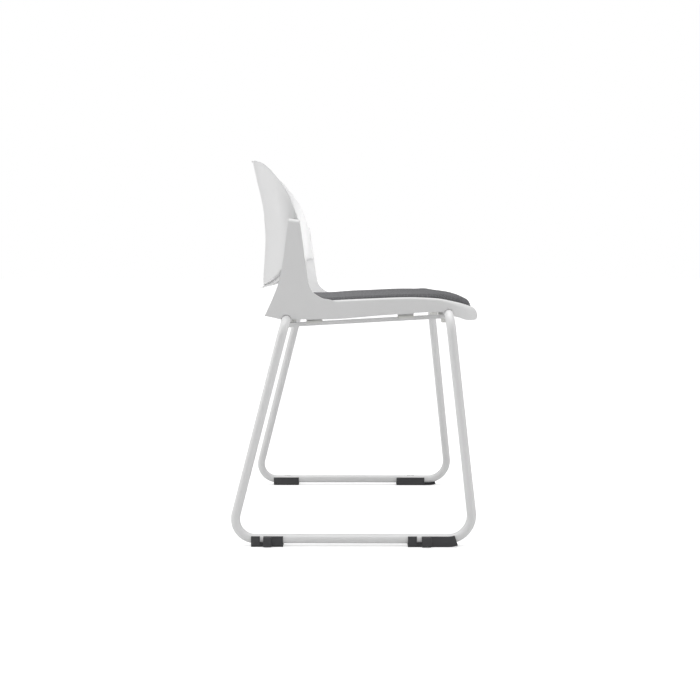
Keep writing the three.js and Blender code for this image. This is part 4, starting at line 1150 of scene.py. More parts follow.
@dataclass
class SeatRails:
    """Two flat bars welded between the cross tubes, with their screws and the spacer caps on them."""

    finishes: Finishes
    sled: SledFrame
    width: float = 20 * MM
    height: float = 7.4 * MM
    x: float = 185.2 * MM
    tail: float = 5 * MM
    front_drop: float = 5.6 * MM
    gap: float = 0.3 * MM
    edge: float = 0.55 * MM
    cope_share: float = 0.6
    cap_length: float = 31 * MM
    cap_edge: float = 1.2 * MM
    cap_top: float = 3 * MM
    cap_lip: float = 2 * MM
    cap_lip_depth: float = 3 * MM
    cap_rear: float = 88.2 * MM
    cap_front: float = 91.9 * MM
    screw: Screw = Screw(4.4 * MM, 8.6 * MM, 2.4 * MM, 22 * MM, countersunk=True)
    hole_gap: float = 0.4 * MM
    weld: float = 1.7 * MM
    weld_share: float = 0.42
    weld_apart: float = 3.4 * MM
    weld_lift: float = 0.6 * MM
    weld_front: tuple[float, float] = (0.6 * MM, 0.7 * MM)
    weld_under_share: float = 0.62
    weld_under: float = 0.2 * MM

    @property
    def hole(self) -> float:
        """Radius of the screw holes."""
        return self.screw.shank / 2 + self.hole_gap

    @property
    def caps(self) -> dict[str, float]:
        """Middles of the caps on the chair's length axis."""
        return {"rear": self.cap_rear, "front": -self.cap_front}

    def rear_end(self) -> Vector:
        """Middle of the bar under the rear cross tube."""
        return self.sled.rear_cross - UP * (self.sled.radius + self.gap + self.height / 2)

    def placed(self) -> Matrix:
        """Matrix from the bar's own axes, Y to the rear and Z up from it, to the chair."""
        rear = self.rear_end()
        front = self.sled.front_cross - UP * self.front_drop
        back = (rear - front).normalized()
        turn = Matrix((ACROSS, back, ACROSS.cross(back))).transposed().to_4x4()
        return Matrix.Translation(rear) @ turn

    def along(self, y: float) -> float:
        """Place on the bar's own length axis of a place on the chair's."""
        matrix = self.placed()
        return (y - matrix.translation.y) / matrix.col[1].y

    def bar(self) -> Piece:
        """Bar in its own axes: coped to the front tube, with two countersunk holes."""
        start = self.along(self.sled.front_cross.y + self.sled.radius * self.cope_share)
        end = self.along(self.rear_end().y + self.tail)
        half, low = self.width / 2, self.height / 2
        bar = box_at((-half, start, -low), (half, end, low))
        tube = self.placed().inverted() @ self.sled.front_cross
        tube.x = -self.width
        combine(bar, rod_at(self.sled.radius + self.gap, tube, ACROSS, 2 * self.width, 64), Cut.TAKE)
        for y in self.caps.values():
            place = Vector((0, self.along(y), 0))
            combine(bar, rod_at(self.hole, place - UP * self.width, UP, 2 * self.width), Cut.TAKE)
            depth = self.screw.head_height + self.gap
            bpy.ops.mesh.primitive_cone_add(
                vertices=32, radius1=self.screw.head / 2 + 2 * self.hole_gap, radius2=self.hole,
                depth=depth, location=place - UP * (low - depth / 2),
            )
            combine(bar, settle(bpy.context.object), Cut.TAKE)
        return shade(soften(bar, self.edge, 3), 35)

    def cap(self, y: float) -> Piece:
        """Spacer cap in the bar's own axes: an upturned channel with rounded edges and a screw hole.

        Args:
            y: Its middle, on the chair's length axis.

        Returns:
            The cap.
        """
        middle, half = self.along(y), self.cap_length / 2
        side = self.width / 2 + self.gap
        top = self.height / 2 + self.gap
        cap = box_at(
            (-side - self.cap_lip, middle - half, top - self.cap_lip_depth),
            (side + self.cap_lip, middle + half, top + self.cap_top),
        )
        soften(cap, self.cap_edge, 3)
        room = box_at((-side, middle - self.cap_length, -self.width), (side, middle + self.cap_length, top))
        combine(cap, room, Cut.TAKE)
        combine(cap, rod_at(self.hole, Vector((0, middle, 0)), UP, self.cap_length), Cut.TAKE)
        return shade(cap, 35)

    def build(self) -> None:
        """Builds and dresses the bars, caps, screws and welds of both sides."""
        matrix = self.placed()
        bar = self.bar()
        caps = {name: self.cap(y) for name, y in self.caps.items()}
        screw = self.screw.build()
        for side in Side:
            shift = Matrix.Translation((side.value * self.x, 0, 0)) @ matrix
            rail = moved_copy(bar, f"rail_bar_{side.label}", shift)
            dress(rail, self.finishes, "frame_paint", [f"seat_rail_{side.label}"])
            for name, y in self.caps.items():
                cap = moved_copy(caps[name], f"rail_cap_{name}_{side.label}", shift)
                dress(cap, self.finishes, "spacer_plastic", [f"rail_pad_{name}_{side.label}"])
                low = Matrix.Translation((0, self.along(y), -self.height / 2 + self.gap))
                fixed = moved_copy(screw, f"rail_fixing_{name}_{side.label}", shift @ low)
                dress(fixed, self.finishes, "plain_steel", [f"rail_screw_{name}_{side.label}"])
            self.welds(side)
        discard(bar, screw, *caps.values())

    def welds(self, side: Side) -> None:
        """Fillet welds of one bar to the two cross tubes."""
        x, radius, top = side.value * self.x, self.sled.radius, self.height / 2
        reach = ACROSS * (self.width * self.weld_share)
        rear = self.rear_end() + Vector((x, 0, top))
        ahead, lift = self.weld_front
        front = Vector((x, radius + ahead, -self.front_drop + top + lift))
        under = Vector((x, radius * self.weld_under_share, -radius - self.weld_under))
        for name, place in (
            ("rear_a", rear + Vector((0, -self.weld_apart, self.weld_lift))),
            ("rear_b", rear + Vector((0, self.weld_apart, self.weld_lift))),
            ("front_a", self.sled.front_cross + front), ("front_b", self.sled.front_cross + under),
        ):
            bead = self.sled.weld(f"rail_weld_{name}_{side.label}", place - reach, place + reach, self.weld)
            dress(bead, self.finishes, "frame_paint")


@dataclass
class TubeClamps:
    """Four moulded saddles under the cross tubes, each held by two screws."""

    finishes: Finishes
    sled: SledFrame
    x: float = 150.2 * MM
    width: float = 26 * MM
    length: float = 31 * MM
    flange: float = 8.2 * MM
    belly: float = 20 * MM
    belly_length: float = 16.6 * MM
    chamfer: float = 4 * MM
    hole_spacing: float = 24 * MM
    ear_edge: float = 1.6 * MM
    edge: float = 0.5 * MM
    gap: float = 0.3 * MM
    hole_gap: float = 0.4 * MM
    screw: Screw = Screw(3.6 * MM, 6.8 * MM, 2.6 * MM, 20 * MM)

    @property
    def hole(self) -> float:
        """Radius of the screw holes."""
        return self.screw.shank / 2 + self.hole_gap

    def body(self) -> Piece:
        """Saddle, its origin on the tube's axis."""
        half, wide, long = self.length / 2, self.width / 2, self.belly_length / 2
        ears = soften(box_at((-wide, -half, -self.flange), (wide, half, -self.gap)), self.ear_edge, 4)
        belly = box_at((-wide, -long, -self.belly), (wide, long, -self.flange / 2))
        with editing(belly, everything=False) as mesh:
            for edge in mesh.edges:
                low = all(v.co.z < -self.belly + self.edge for v in edge.verts)
                edge.select = low and abs(edge.verts[0].co.x - edge.verts[1].co.x) > self.width / 2
            mesh.select_flush_mode()
            bpy.ops.mesh.bevel(offset=self.chamfer, segments=5)
        combine(ears, belly, Cut.JOIN)
        start = -ACROSS * self.width
        combine(ears, rod_at(self.sled.radius + self.gap, start, ACROSS, 2 * self.width, 64), Cut.TAKE)
        for end in (-0.5, 0.5):
            start = Vector((0, end * self.hole_spacing, -self.belly))
            combine(ears, rod_at(self.hole, start, UP, self.length), Cut.TAKE)
        return shade(soften(ears, self.edge, 2, 50), 35)

    def build(self) -> None:
        """Builds and dresses the four clamps and their screws."""
        body = self.body()
        screw = self.screw.build()
        for side in Side:
            for name, cross in self.sled.crosses.items():
                place = cross + ACROSS * side.value * self.x
                label = f"{name}_{side.label}"
                clamp = moved_copy(body, f"clamp_saddle_{label}", Matrix.Translation(place))
                dress(clamp, self.finishes, "spacer_plastic", [f"tube_clamp_{label}"])
                for letter, end in (("a", -0.5), ("b", 0.5)):
                    spot = place + Vector((0, end * self.hole_spacing, -self.flange - self.gap))
                    fixed = moved_copy(screw, f"clamp_fixing_{label}_{letter}", Matrix.Translation(spot))
                    dress(fixed, self.finishes, "plain_steel", [f"clamp_screw_{label}_{letter}"])
        discard(body, screw)


@dataclass
class RunnerGlides:
    """Four glides that snap over the runners, each with a slot and a lug to link chairs in a row."""

    finishes: Finishes
    sled: SledFrame
    gap: float = 0.3 * MM
    wall: float = 2 * MM
    outer_height: float = 20.4 * MM
    inner_height: float = 18.8 * MM
    chamfer: float = 2.6 * MM
    rear_end: float = 208.3 * MM
    front_start: float = 93.8 * MM
    head: float = 17.1 * MM
    rear_slot: float = 6.8 * MM
    front_slot: float = 9.4 * MM
    slot_floor: float = 9 * MM
    slot_inset: float = 1.4 * MM
    rear_lug: float = 15.8 * MM
    front_lug: float = 18.4 * MM
    lug_reach: float = 6 * MM
    rear_tail: float = 21.8 * MM
    front_wrap: float = 15 * MM
    inner_tail: float = 24 * MM
    inner_step: float = 3.4 * MM
    edge: float = 0.55 * MM
    lug_edge: float = 1.2 * MM
    lug_low: float = 1.3 * MM
    near: float = 0.1 * MM
    arc_steps: int = 28
    wrap_steps: int = 6

    @property
    def bore(self) -> float:
        """Radius of the groove for the runner."""
        return self.sled.radius + self.gap

    @property
    def half_width(self) -> float:
        """From the runner's middle line to the outer face."""
        return self.bore + self.wall

    def section(self) -> list[tuple[float, float]]:
        """Cross-section round the runner's middle line: across the chair and up."""
        floor = -self.sled.runner.z
        outer_top, inner_top = self.outer_height + floor, self.inner_height + floor
        first = math.asin(outer_top / self.bore)
        last = -math.pi - math.asin(inner_top / self.bore)
        turns = [first + (last - first) * i / self.arc_steps for i in range(self.arc_steps + 1)]
        arc = [(self.bore * math.cos(a), self.bore * math.sin(a)) for a in turns]
        wide, cut = self.half_width, self.chamfer
        return [
            (wide, outer_top), *arc, (-wide, inner_top), (-wide, floor + cut), (-wide + cut, floor),
            (wide - cut, floor), (wide, floor + cut),
        ]

    def channel(self, start: float, end: float, wrap: float) -> Piece:
        """Channel along the left runner.

        Args:
            start: Its tail, on the chair's length axis.
            end: Where its straight run ends.
            wrap: Length of its last stretch, which follows the floor bend.

        Returns:
            Closed body.
        """
        outline = [self.sled.runner + Vector((x, start, z)) for x, z in self.section()]
        body = prism(outline, Vector((0, end - start, 0)))
        if wrap > 0:
            radius = self.sled.bends[2]
            with editing(body, everything=False) as mesh:
                bpy.ops.mesh.select_mode(type="FACE")
                for face in mesh.faces:
                    face.select_set(all(abs(v.co.y - end) < self.near for v in face.verts))
                centre = self.sled.runner + Vector((0, end, radius))
                bpy.ops.mesh.spin(steps=self.wrap_steps, angle=wrap / radius, center=centre, axis=(1, 0, 0))
        return outward(body)

    def glide(
        self, name: str, tail: float, end: float, slot: float, lug: float, wrap: float = 0.0
    ) -> Piece:
        """One glide on the left runner.

        Args:
            name: Name of the piece.
            tail: Its rear end.
            end: Where its straight run ends.
            slot: Length of its slot.
            lug: Length of its lug.
            wrap: Length of the stretch on the floor bend.

        Returns:
            The glide.
        """
        body = self.channel(tail, end, wrap)
        middle, face = self.sled.runner.x, self.sled.runner.x + self.half_width
        slot_start, high = tail - self.head, 2 * self.outer_height
        slot_end = slot_start - slot
        far = (face + self.wall, slot_start, high)
        combine(body, box_at((middle, slot_end, self.slot_floor), far), Cut.TAKE)
        combine(body, box_at((face - self.slot_inset, slot_end, -self.wall), far), Cut.TAKE)
        lug_start = (face - self.wall / 2, slot_end - lug, self.lug_low)
        block = box_at(lug_start, (face + self.lug_reach, slot_end, self.outer_height))
        combine(body, soften(block, self.lug_edge, 3), Cut.JOIN)
        if wrap > 0:
            tip, reach = end - wrap, self.sled.diameter
            inner = box_at(
                (middle - reach, tip - reach, self.inner_step), (middle, tip + self.inner_tail, 2 * high)
            )
            combine(body, inner, Cut.TAKE)
        return named(shade(soften(body, self.edge, 2), 35), name)

    def build(self) -> None:
        """Builds and dresses the four glides."""
        rear_tip = self.rear_end - self.head - self.rear_slot - self.rear_lug - self.rear_tail
        bend_start = self.sled.bend_at(3)[0].y
        sizes = {
            "rear": (self.rear_end, rear_tip, self.rear_slot, self.rear_lug),
            "front": (-self.front_start, bend_start, self.front_slot, self.front_lug, self.front_wrap),
        }
        lefts = {name: self.glide(f"runner_glide_{name}_left", *each) for name, each in sizes.items()}
        for name, left in lefts.items():
            right = mirrored_copy(left, f"runner_glide_{name}_right")
            dress(left, self.finishes, "glide_nylon", [f"glide_{name}_left"])
            dress(right, self.finishes, "glide_nylon", [f"glide_{name}_right"])


@dataclass
class SeatForm:
    """Lines that the moulded seat and its pad share."""

    height: float = 478.8 * MM
    width: float = 432 * MM
    depth: float = 417.2 * MM
    rear: float = 168.9 * MM
    corner_depth: float = 125 * MM
    relief: float = 30 * MM
    skirt: float = 43 * MM
    recess: float = 2.5 * MM
    side_rim: float = 5 * MM
    nose_rim: float = 17 * MM
    nose_fall: float = 0.3
    dish_power: float = 2.2
    corner_power: float = 3.0
    lead: float = 0.75
    rim_shares: Rows = (
        (0, -0.3), (0.126, -0.33), (0.223, -0.26), (0.305, -0.18), (0.462, -0.08), (0.639, 0), (0.757, -0.06),
        (0.85, -0.29), (0.946, -0.71), (1, -1.03),
    )
    bed_shares: Rows = (
        (0, -0.35), (0.103, -0.55), (0.246, -0.71), (0.39, -0.75), (0.533, -0.65), (0.678, -0.45),
        (0.774, -0.31), (0.846, -0.36), (0.894, -0.53), (0.93, -0.73), (0.955, -0.91), (1, -1.26),
    )
    skirt_shares: Rows = (
        (-0.022, 0.87), (0.011, 0.935), (0.047, 1), (0.239, 1), (0.526, 0.81), (0.708, 0.685),
        (0.778, 0.655), (0.817, 0.75), (0.846, 0.855), (0.881, 0.95), (0.93, 1.09), (1, 1.135),
    )

    def __post_init__(self) -> None:
        """Makes the curves of the three tables."""
        self.rim = curve_through(self.rim_shares)
        self.bed = curve_through(self.bed_shares)
        self.hem = curve_through(self.skirt_shares)

    @property
    def half(self) -> float:
        """Half of the width."""
        return self.width / 2

    @property
    def front(self) -> float:
        """Tip of the nose on the length axis."""
        return self.rear - self.depth

    def share(self, y: Values) -> Values:
        """Share of the depth, from the rear edge."""
        return (self.rear - y) / self.depth

    def rim_z(self, y: Values) -> Values:
        """Height of the rim's top."""
        return self.height + self.relief * self.rim(self.share(y))

    def skirt_z(self, y: Values) -> Values:
        """Height of the skirt's lower edge."""
        return self.height - self.skirt * self.hem(self.share(y))

    def bed_z(self, x: Values, y: Values) -> Values:
        """Height of the bed, dished across."""
        middle = self.height + self.relief * self.bed(self.share(y))
        side = self.rim_z(y) - self.recess
        return middle + (side - middle) * np.minimum(np.abs(x) / self.half, 1) ** self.dish_power

    def middle_y(self, y: np.ndarray) -> np.ndarray:
        """Where the lines across the seat reach its middle: straight across, but fanned behind the nose."""
        straight = self.front + self.corner_depth
        return np.where(y < straight, straight + self.lead * (y - straight), y)

    def corner(self, half: float, end: float, depth: float, steps: int = PLAN_SAMPLES) -> np.ndarray:
        """Curved corner of a plan, from the straight side to the middle.

        Args:
            half: Half of the plan's width.
            end: Where the plan ends, on the length axis.
            depth: Length of the corner, signed away from the end.
            steps: Number of points.

        Returns:
            Points of x and y.
        """
        turn = np.linspace(0, QUARTER, steps)
        power = 2 / self.corner_power
        return np.stack([half * np.cos(turn) ** power, end + depth * (1 - np.sin(turn) ** power)], axis=1)


def evenly(line: np.ndarray, step: float) -> np.ndarray:
    """Points at even steps along a line.

    Args:
        line: Close points of the line.
        step: Wanted distance between points.

    Returns:
        Points at that distance or close to it, from end to end.
    """
    runs = np.linalg.norm(np.diff(line, axis=0), axis=1)
    along = np.concatenate([[0], np.cumsum(runs)])
    places = np.linspace(0, along[-1], max(2, round(along[-1] / step)) + 1)
    return np.stack([np.interp(places, along, line[:, i]) for i in range(line.shape[1])], axis=1)


def plan_normals(line: np.ndarray) -> np.ndarray:
    """Outward directions of a plan that runs from the rear to the front on the left side."""
    along = np.gradient(line, axis=0)
    along /= np.linalg.norm(along, axis=1)[:, None]
    normals = np.stack([-along[:, 1], along[:, 0]], axis=1)
    for end in (0, -1):
        if line[end, 0] < ON_MIRROR:
            normals[end] = (0, -1 if end else 1)
    return normals


def spline_through(points: Rows, steps: int) -> list[tuple[float, float]]:
    """Catmull-Rom curve through points.

    Args:
        points: Points of the curve.
        steps: Points a stretch.

    Returns:
        Points on the curve, from the first to the last.
    """
    nodes = np.array([points[0], *points, points[-1]])
    line = []
    for i in range(len(points) - 1):
        before, start, end, after = nodes[i : i + 4]
        leave, arrive = (end - before) / 2, (after - start) / 2
        for t in np.arange(steps) / steps:
            cube, square = 2 * start - 2 * end + leave + arrive, 3 * end - 3 * start - 2 * leave - arrive
            line.append(cube * t**3 + square * t**2 + leave * t + start)
    return [tuple(p) for p in (*line, nodes[-1])]


@dataclass
class UprightForm:
    """Side view of the shell's uprights: rear edge, front edge and heights."""

    seat: SeatForm
    rear: float = 184.2 * MM
    length: float = 142 * MM
    bottom: float = 36.4 * MM
    height: float = 180.5 * MM
    thickness: float = 13 * MM
    rebate: float = 1.6 * MM
    edge: float = 2 * MM
    roll: float = 8 * MM
    rear_shares: Rows = ((0, 0), (0.169, 0.302), (0.254, 0.568), (0.313, 0.873), (0.335, 1))
    front_shares: Rows = (
        (0.487, 0.986), (0.55, 0.62), (0.592, 0.388), (0.648, 0.268), (0.775, 0.195), (0.89, 0.175),
        (1, 0.15),
    )

    def __post_init__(self) -> None:
        """Makes the curves of both edges, from height to place."""
        self.rear_y = curve_through([(self.z(b), self.y(a)) for a, b in self.rear_shares])
        self.front_y = curve_through([(self.z(b), self.y(a)) for a, b in reversed(self.front_shares)])

    def y(self, share: float) -> float:
        """Place on the length axis of a share of the length, from the rear."""
        return self.rear - self.length * share

    def z(self, share: float) -> float:
        """Height of a share of the height."""
        return self.seat.height - self.bottom + self.height * share

    @property
    def end(self) -> float:
        """Where the front edge has become the rim."""
        return self.y(1)

    @property
    def top(self) -> float:
        """Height of the rear edge's top."""
        return self.z(1)

    @property
    def inner(self) -> float:
        """Inner face of the left upright."""
        return self.seat.half - self.thickness

    def tips(self) -> tuple[Vector, Vector]:
        """Rear and front ends of the top edge, before its round."""
        rear, front = self.rear_shares[-1], self.front_shares[0]
        return Vector((0, self.y(rear[0]), self.z(rear[1]))), Vector((0, self.y(front[0]), self.z(front[1])))

    def outline(self, x: float) -> list[Vector]:
        """Outline at a place across the chair: up the rear edge, over the top, down the front, back below."""
        sides = [
            spline_through([(self.y(a), self.z(b)) for a, b in shares], steps)
            for shares, steps in ((self.rear_shares, 8), (self.front_shares, 7))
        ]
        crest = [(tip.y, tip.z + self.roll) for tip in self.tips()]
        below = [(y, float(self.seat.skirt_z(y))) for y in np.linspace(self.end, self.rear, 18)[:-1]]
        return [Vector((x, y, z)) for y, z in (*sides[0], *crest, *sides[1], *below)]


@dataclass
class BackForm:
    """Curved surface of the back: angle 0 is its middle, 90 degrees the wing's front edge."""

    seat: SeatForm
    upright: UprightForm
    above_rim: float = 18.6 * MM
    height: float = 265.6 * MM
    wall: float = 4.5 * MM
    clearance: float = 0.4 * MM
    wing_gap: float = 1.6 * MM
    overhang: float = 20.1 * MM
    relief: float = 26 * MM
    wing_lean: float = 15 * MM
    lip_reach: float = 13 * MM
    low_lip_reach: float = 18.5 * MM
    lip_height: float = 14 * MM
    lip_fade: float = 1.5
    wing_low: float = 0.62
    plan_power: float = 2.2
    profile_shares: Rows = (
        (0, 0.25), (0.12, 0.165), (0.22, 0.085), (0.363, 0), (0.567, 0.115), (0.725, 0.41), (0.815, 0.635),
        (0.913, 0.855), (1, 1.03),
    )
    top_shares: Rows = (
        (-0.1, 0.961), (0, 0.968), (0.1, 0.961), (0.2, 0.945), (0.3, 0.924), (0.4, 0.898), (0.5, 0.86),
        (0.6, 0.794), (0.7, 0.681), (0.8, 0.545), (0.889, 0.386), (0.944, 0.2), (1, 0),
    )
    bottom_shares: Rows = (
        (-0.1, -0.092), (0, -0.1), (0.1, -0.092), (0.2, -0.075), (0.3, -0.053), (0.4, -0.008), (0.5, 0.06),
        (0.6, 0.19), (0.7, 0.38), (0.8, 0.64), (0.889, 0.9), (0.92, 1), (1, 1),
    )

    def __post_init__(self) -> None:
        """Makes the curves of the tables."""
        self.profile = curve_through(self.profile_shares)
        self.top_curve = curve_through(self.top_shares)
        self.bottom_curve = curve_through(self.bottom_shares)

    @property
    def bottom(self) -> float:
        """Height of the bottom edge at the middle."""
        return self.seat.height + self.above_rim

    @property
    def top(self) -> float:
        """Height of the top edge at the middle."""
        return self.bottom + self.height

    @property
    def wing_half(self) -> float:
        """Outer face of the left wing."""
        return self.upright.inner + self.upright.rebate - self.clearance

    def wing_front(self, z: Values) -> Values:
        """Front edge of the wing: along the upright, then leaning back above it."""
        high = self.upright.z(self.upright.front_shares[0][1])
        lean = self.wing_lean * np.maximum(z - high, 0) / (self.top - high)
        return self.upright.front_y(np.minimum(z, high)) + lean

    def low_z(self, angle: Values) -> Values:
        """Height of the bottom edge."""
        wing = self.upright.z(self.wing_low)
        return self.bottom + (wing - self.bottom) * self.bottom_curve(np.abs(angle) / QUARTER)

    def high_z(self, angle: Values) -> Values:
        """Height of the top edge."""
        return self.upright.top + (self.top - self.upright.top) * self.top_curve(np.abs(angle) / QUARTER)

    def curl(self, angle: Values, z: Values) -> Values:
        """How far the lips along the top and bottom edges bend outwards."""
        fade = (1 - (np.abs(angle) / QUARTER) ** 2) ** self.lip_fade
        low = np.maximum(0, 1 - (z - self.low_z(angle)) / self.lip_height) ** 2
        high = np.maximum(0, 1 - (self.high_z(angle) - z) / self.lip_height) ** 2
        return fade * (self.low_lip_reach * low + self.lip_reach * high)

    def point(self, angle: Values, z: Values, offset: Values = 0.0) -> np.ndarray:
        """Points of the surface.

        Args:
            angle: Angle round the back.
            z: Height.
            offset: Distance outside the surface.

        Returns:
            Points, in an array whose last axis is x, y and z.
        """
        power = 2 / self.plan_power
        sine, cosine = np.sin(angle), np.abs(np.cos(angle))
        front = self.wing_front(z)
        share = (z - self.bottom) / self.height
        rear = self.seat.rear + self.overhang + self.relief * self.profile(share) + offset
        x = (self.wing_half + offset) * np.sign(sine) * np.abs(sine) ** power
        y = front + (rear - front) * cosine**power
        return np.stack(np.broadcast_arrays(x, y, z), axis=-1)

    def normal(self, angle: float, z: float) -> Vector:
        """Outward direction of the surface at one place."""
        turn = math.radians(0.05)
        across = Vector(self.point(angle + turn, z) - self.point(angle - turn, z))
        rise = Vector(self.point(angle, z + MM) - self.point(angle, z - MM))
        return -across.cross(rise).normalized()

    def angles(self, step: float, edge: Sequence[float]) -> tuple[np.ndarray, np.ndarray]:
        """Angles of the columns, from the wing's front edge to the middle.

        Args:
            step: Distance between columns over the broad part.
            edge: Distances of the first columns from the front edge.

        Returns:
            Angles, and their distances from the front edge.
        """
        height = self.upright.top
        fine = np.linspace(QUARTER, 0, BACK_SAMPLES)
        line = self.point(fine, height)
        runs = np.concatenate([[0], np.cumsum(np.linalg.norm(np.diff(line, axis=0), axis=1))])
        count = round((runs[-1] - edge[-1]) / step)
        places = np.concatenate([edge, np.linspace(edge[-1], runs[-1], count + 1)[1:]])
        return np.interp(places, runs, fine), places


def round_off(distance: Values, width: float, depth: float) -> Values:
    """How far a rounded edge draws a skin in, at a distance from the edge."""
    t = 1 - np.clip(distance / width, 0, 1)
    return depth * (1 - np.sqrt(1 - t * t))


def rows_between(low: np.ndarray, high: np.ndarray, edge: Sequence[float], count: int) -> np.ndarray:
    """Heights of rows between two edges, close together near both.

    Args:
        low: Lower edge at each column.
        high: Upper edge at each column.
        edge: Distances of the first rows from an edge.
        count: Number of rows between.

    Returns:
        Heights, as an array of rows and columns.
    """
    near = [low + d for d in edge]
    far = [high - d for d in reversed(edge)]
    middle = [near[-1] + (far[0] - near[-1]) * i / (count + 1) for i in range(1, count + 1)]
    return np.stack([*near, *middle, *far])


@dataclass
class BackShell:
    """Curved back between the uprights, with a rolled lip along its top and bottom."""

    finishes: Finishes
    form: BackForm
    rim: float = 2.05 * MM
    front_width: float = 5.5 * MM
    front_depth: float = 2.7 * MM
    inner_depth: float = 1.4 * MM
    step: float = 6 * MM
    edge_rows: tuple[float, ...] = in_mm(0, 0.08, 0.35, 0.9, 1.6, 2.6, 4.2, 6.4, 9, 11.6, 14.2)
    edge_columns: tuple[float, ...] = in_mm(0, 0.1, 0.4, 1.0, 1.9, 3.0, 4.2, 5.6, 8)
    rows: int = 26

    def build(self) -> None:
        """Builds and dresses the shell."""
        form = self.form
        angle, side = form.angles(self.step, self.edge_columns)
        low, high = form.low_z(angle), form.high_z(angle)
        z = rows_between(low, high, self.edge_rows, self.rows)
        near = np.minimum(z - low, high - z)
        curl = form.curl(angle, z)
        lip = round_off(near, self.rim, self.rim)
        outer = curl - np.maximum(lip, round_off(side, self.front_width, self.front_depth))
        inner = curl - form.wall + np.maximum(lip, round_off(side, self.rim, self.inner_depth))
        shell = walled(form.point(angle, z, outer), form.point(angle, z, inner))
        dress(named(shade(shell, 50), "back_rest_shell"), self.finishes, "shell_plastic", ["back_shell"])


@dataclass
class RearCover:
    """Cover behind the back, from upright to upright: a lid with closed edges, on four posts."""

    finishes: Finishes
    form: BackForm
    stand_off: float = 6.5 * MM
    wall: float = 2.5 * MM
    top_reveal: float = 0.9 * MM
    bottom_reveal: float = 5 * MM
    side_reveal: float = 22 * MM
    side_power: float = 1.5
    side_gap: float = 0.8 * MM
    forward: float = 11 * MM
    forward_over: float = 9 * MM
    foot: float = 0.5 * MM
    thin: float = 0.7 * MM
    flush_height: float = 130 * MM
    flush_from: tuple[float, float] = (0.4, 0.8)
    edge_round: float = 2.6 * MM
    inner_round_share: float = 0.4
    round_steps: int = 6
    first_share: float = 0.8
    fits: int = 9
    post: float = 9 * MM
    post_sink: float = 0.6 * MM
    post_start: float = 1 * MM
    post_angle: float = 32.0
    post_shares: tuple[float, ...] = (0.32, 0.72)
    columns: int = 38
    rows: int = 40

    def side_angles(self, offset: float) -> tuple[np.ndarray, np.ndarray]:
        """Heights, and the angle at which the surface reaches the cover's side edge at each."""
        form, upright = self.form, self.form.upright
        heights = np.linspace(form.bottom - self.side_reveal, form.top, 90)
        above = smooth_step(heights, upright.top, upright.top + self.forward_over)
        edge = upright.rear_y(np.minimum(heights, upright.top)) + self.side_gap - self.forward * above
        fine = np.linspace(0, QUARTER, PLAN_SAMPLES)
        found = [np.interp(-y, -form.point(fine, z, offset)[:, 1], fine) for z, y in zip(heights, edge)]
        return heights, np.array(found)

    def edge(self, inside: bool) -> tuple[np.ndarray, np.ndarray]:
        """Section of an edge: distances from it, and how far the skin lies below the flat there.

        Args:
            inside: Whether it is the inner skin.

        Returns:
            Distances and depths, from the foot over the round to the flat.
        """
        start = self.wall if inside else 0.0
        radius = self.edge_round * (self.inner_round_share if inside else 1.0)
        turn = np.linspace(0, QUARTER, self.round_steps)
        deep = 2 * self.stand_off
        return (
            np.concatenate([[start], start + radius * (1 - np.cos(turn))]),
            np.concatenate([[deep], radius * (1 - np.sin(turn))]),
        )

    def skin(self, inside: bool) -> np.ndarray:
        """Points of the outer or inner skin's left half, in rows from the bottom."""
        form = self.form
        near, deep = self.edge(inside)
        side = np.concatenate([near, np.linspace(near[-1], form.wing_half, self.columns)[1:]])
        side_deep = np.concatenate([deep, np.zeros(self.columns - 1)])
        tall = form.height - self.top_reveal - self.bottom_reveal
        middle = np.linspace(near[-1], tall - near[-1], self.rows)[1:-1]
        up = np.concatenate([near, middle, tall - near[::-1]]) / tall
        up_deep = np.concatenate([deep, np.zeros(self.rows - 2), deep[::-1]])
        across = 1 - side / side[-1]
        heights, limits = self.side_angles(self.stand_off + self.wall)
        angle = np.full((len(up), len(across)), QUARTER * self.first_share) * across
        # Heights depend on angles and angles on heights, so both are fitted in turn.
        for _ in range(self.fits):
            lift = (self.side_reveal - self.bottom_reveal) * (np.abs(angle) / QUARTER) ** self.side_power
            low = form.low_z(angle) + self.bottom_reveal + lift
            high = form.high_z(angle) - self.top_reveal
            z = low + np.maximum(high - low, self.edge_round) * up[:, None]
            angle = across * np.interp(z, heights, limits)
        top = form.high_z(angle) - z
        curl = form.curl(angle, z)
        flush = smooth_step(np.abs(angle) / QUARTER, *self.flush_from)
        flush = flush * (1 - smooth_step(top, 0, self.flush_height))
        flat = (self.stand_off + self.wall) * (1 - flush) + (self.foot + self.thin) * flush
        flat = np.maximum(flat, curl + self.foot + self.thin) - (self.wall if inside else 0.0)
        drawn = flat - np.maximum(side_deep[None, :], up_deep[:, None])
        return form.point(angle, z, np.maximum(drawn, curl + self.foot))

    def build(self) -> None:
        """Builds and dresses the cover and its posts."""
        form = self.form
        cover = walled(self.skin(False), self.skin(True))
        posts = []
        length = self.post_start + self.stand_off - self.post_sink
        for side in Side:
            for share in self.post_shares:
                z = form.bottom + form.height * share
                angle = side.value * math.radians(self.post_angle)
                start = Vector(form.point(angle, z, self.stand_off + self.post_start))
                posts.append(rod_at(self.post / 2, start, -form.normal(angle, z), length))
        combine(cover, merged(posts), Cut.JOIN)
        dress(named(shade(cover, 50), "back_rear_cover"), self.finishes, "shell_plastic", ["back_cover"])


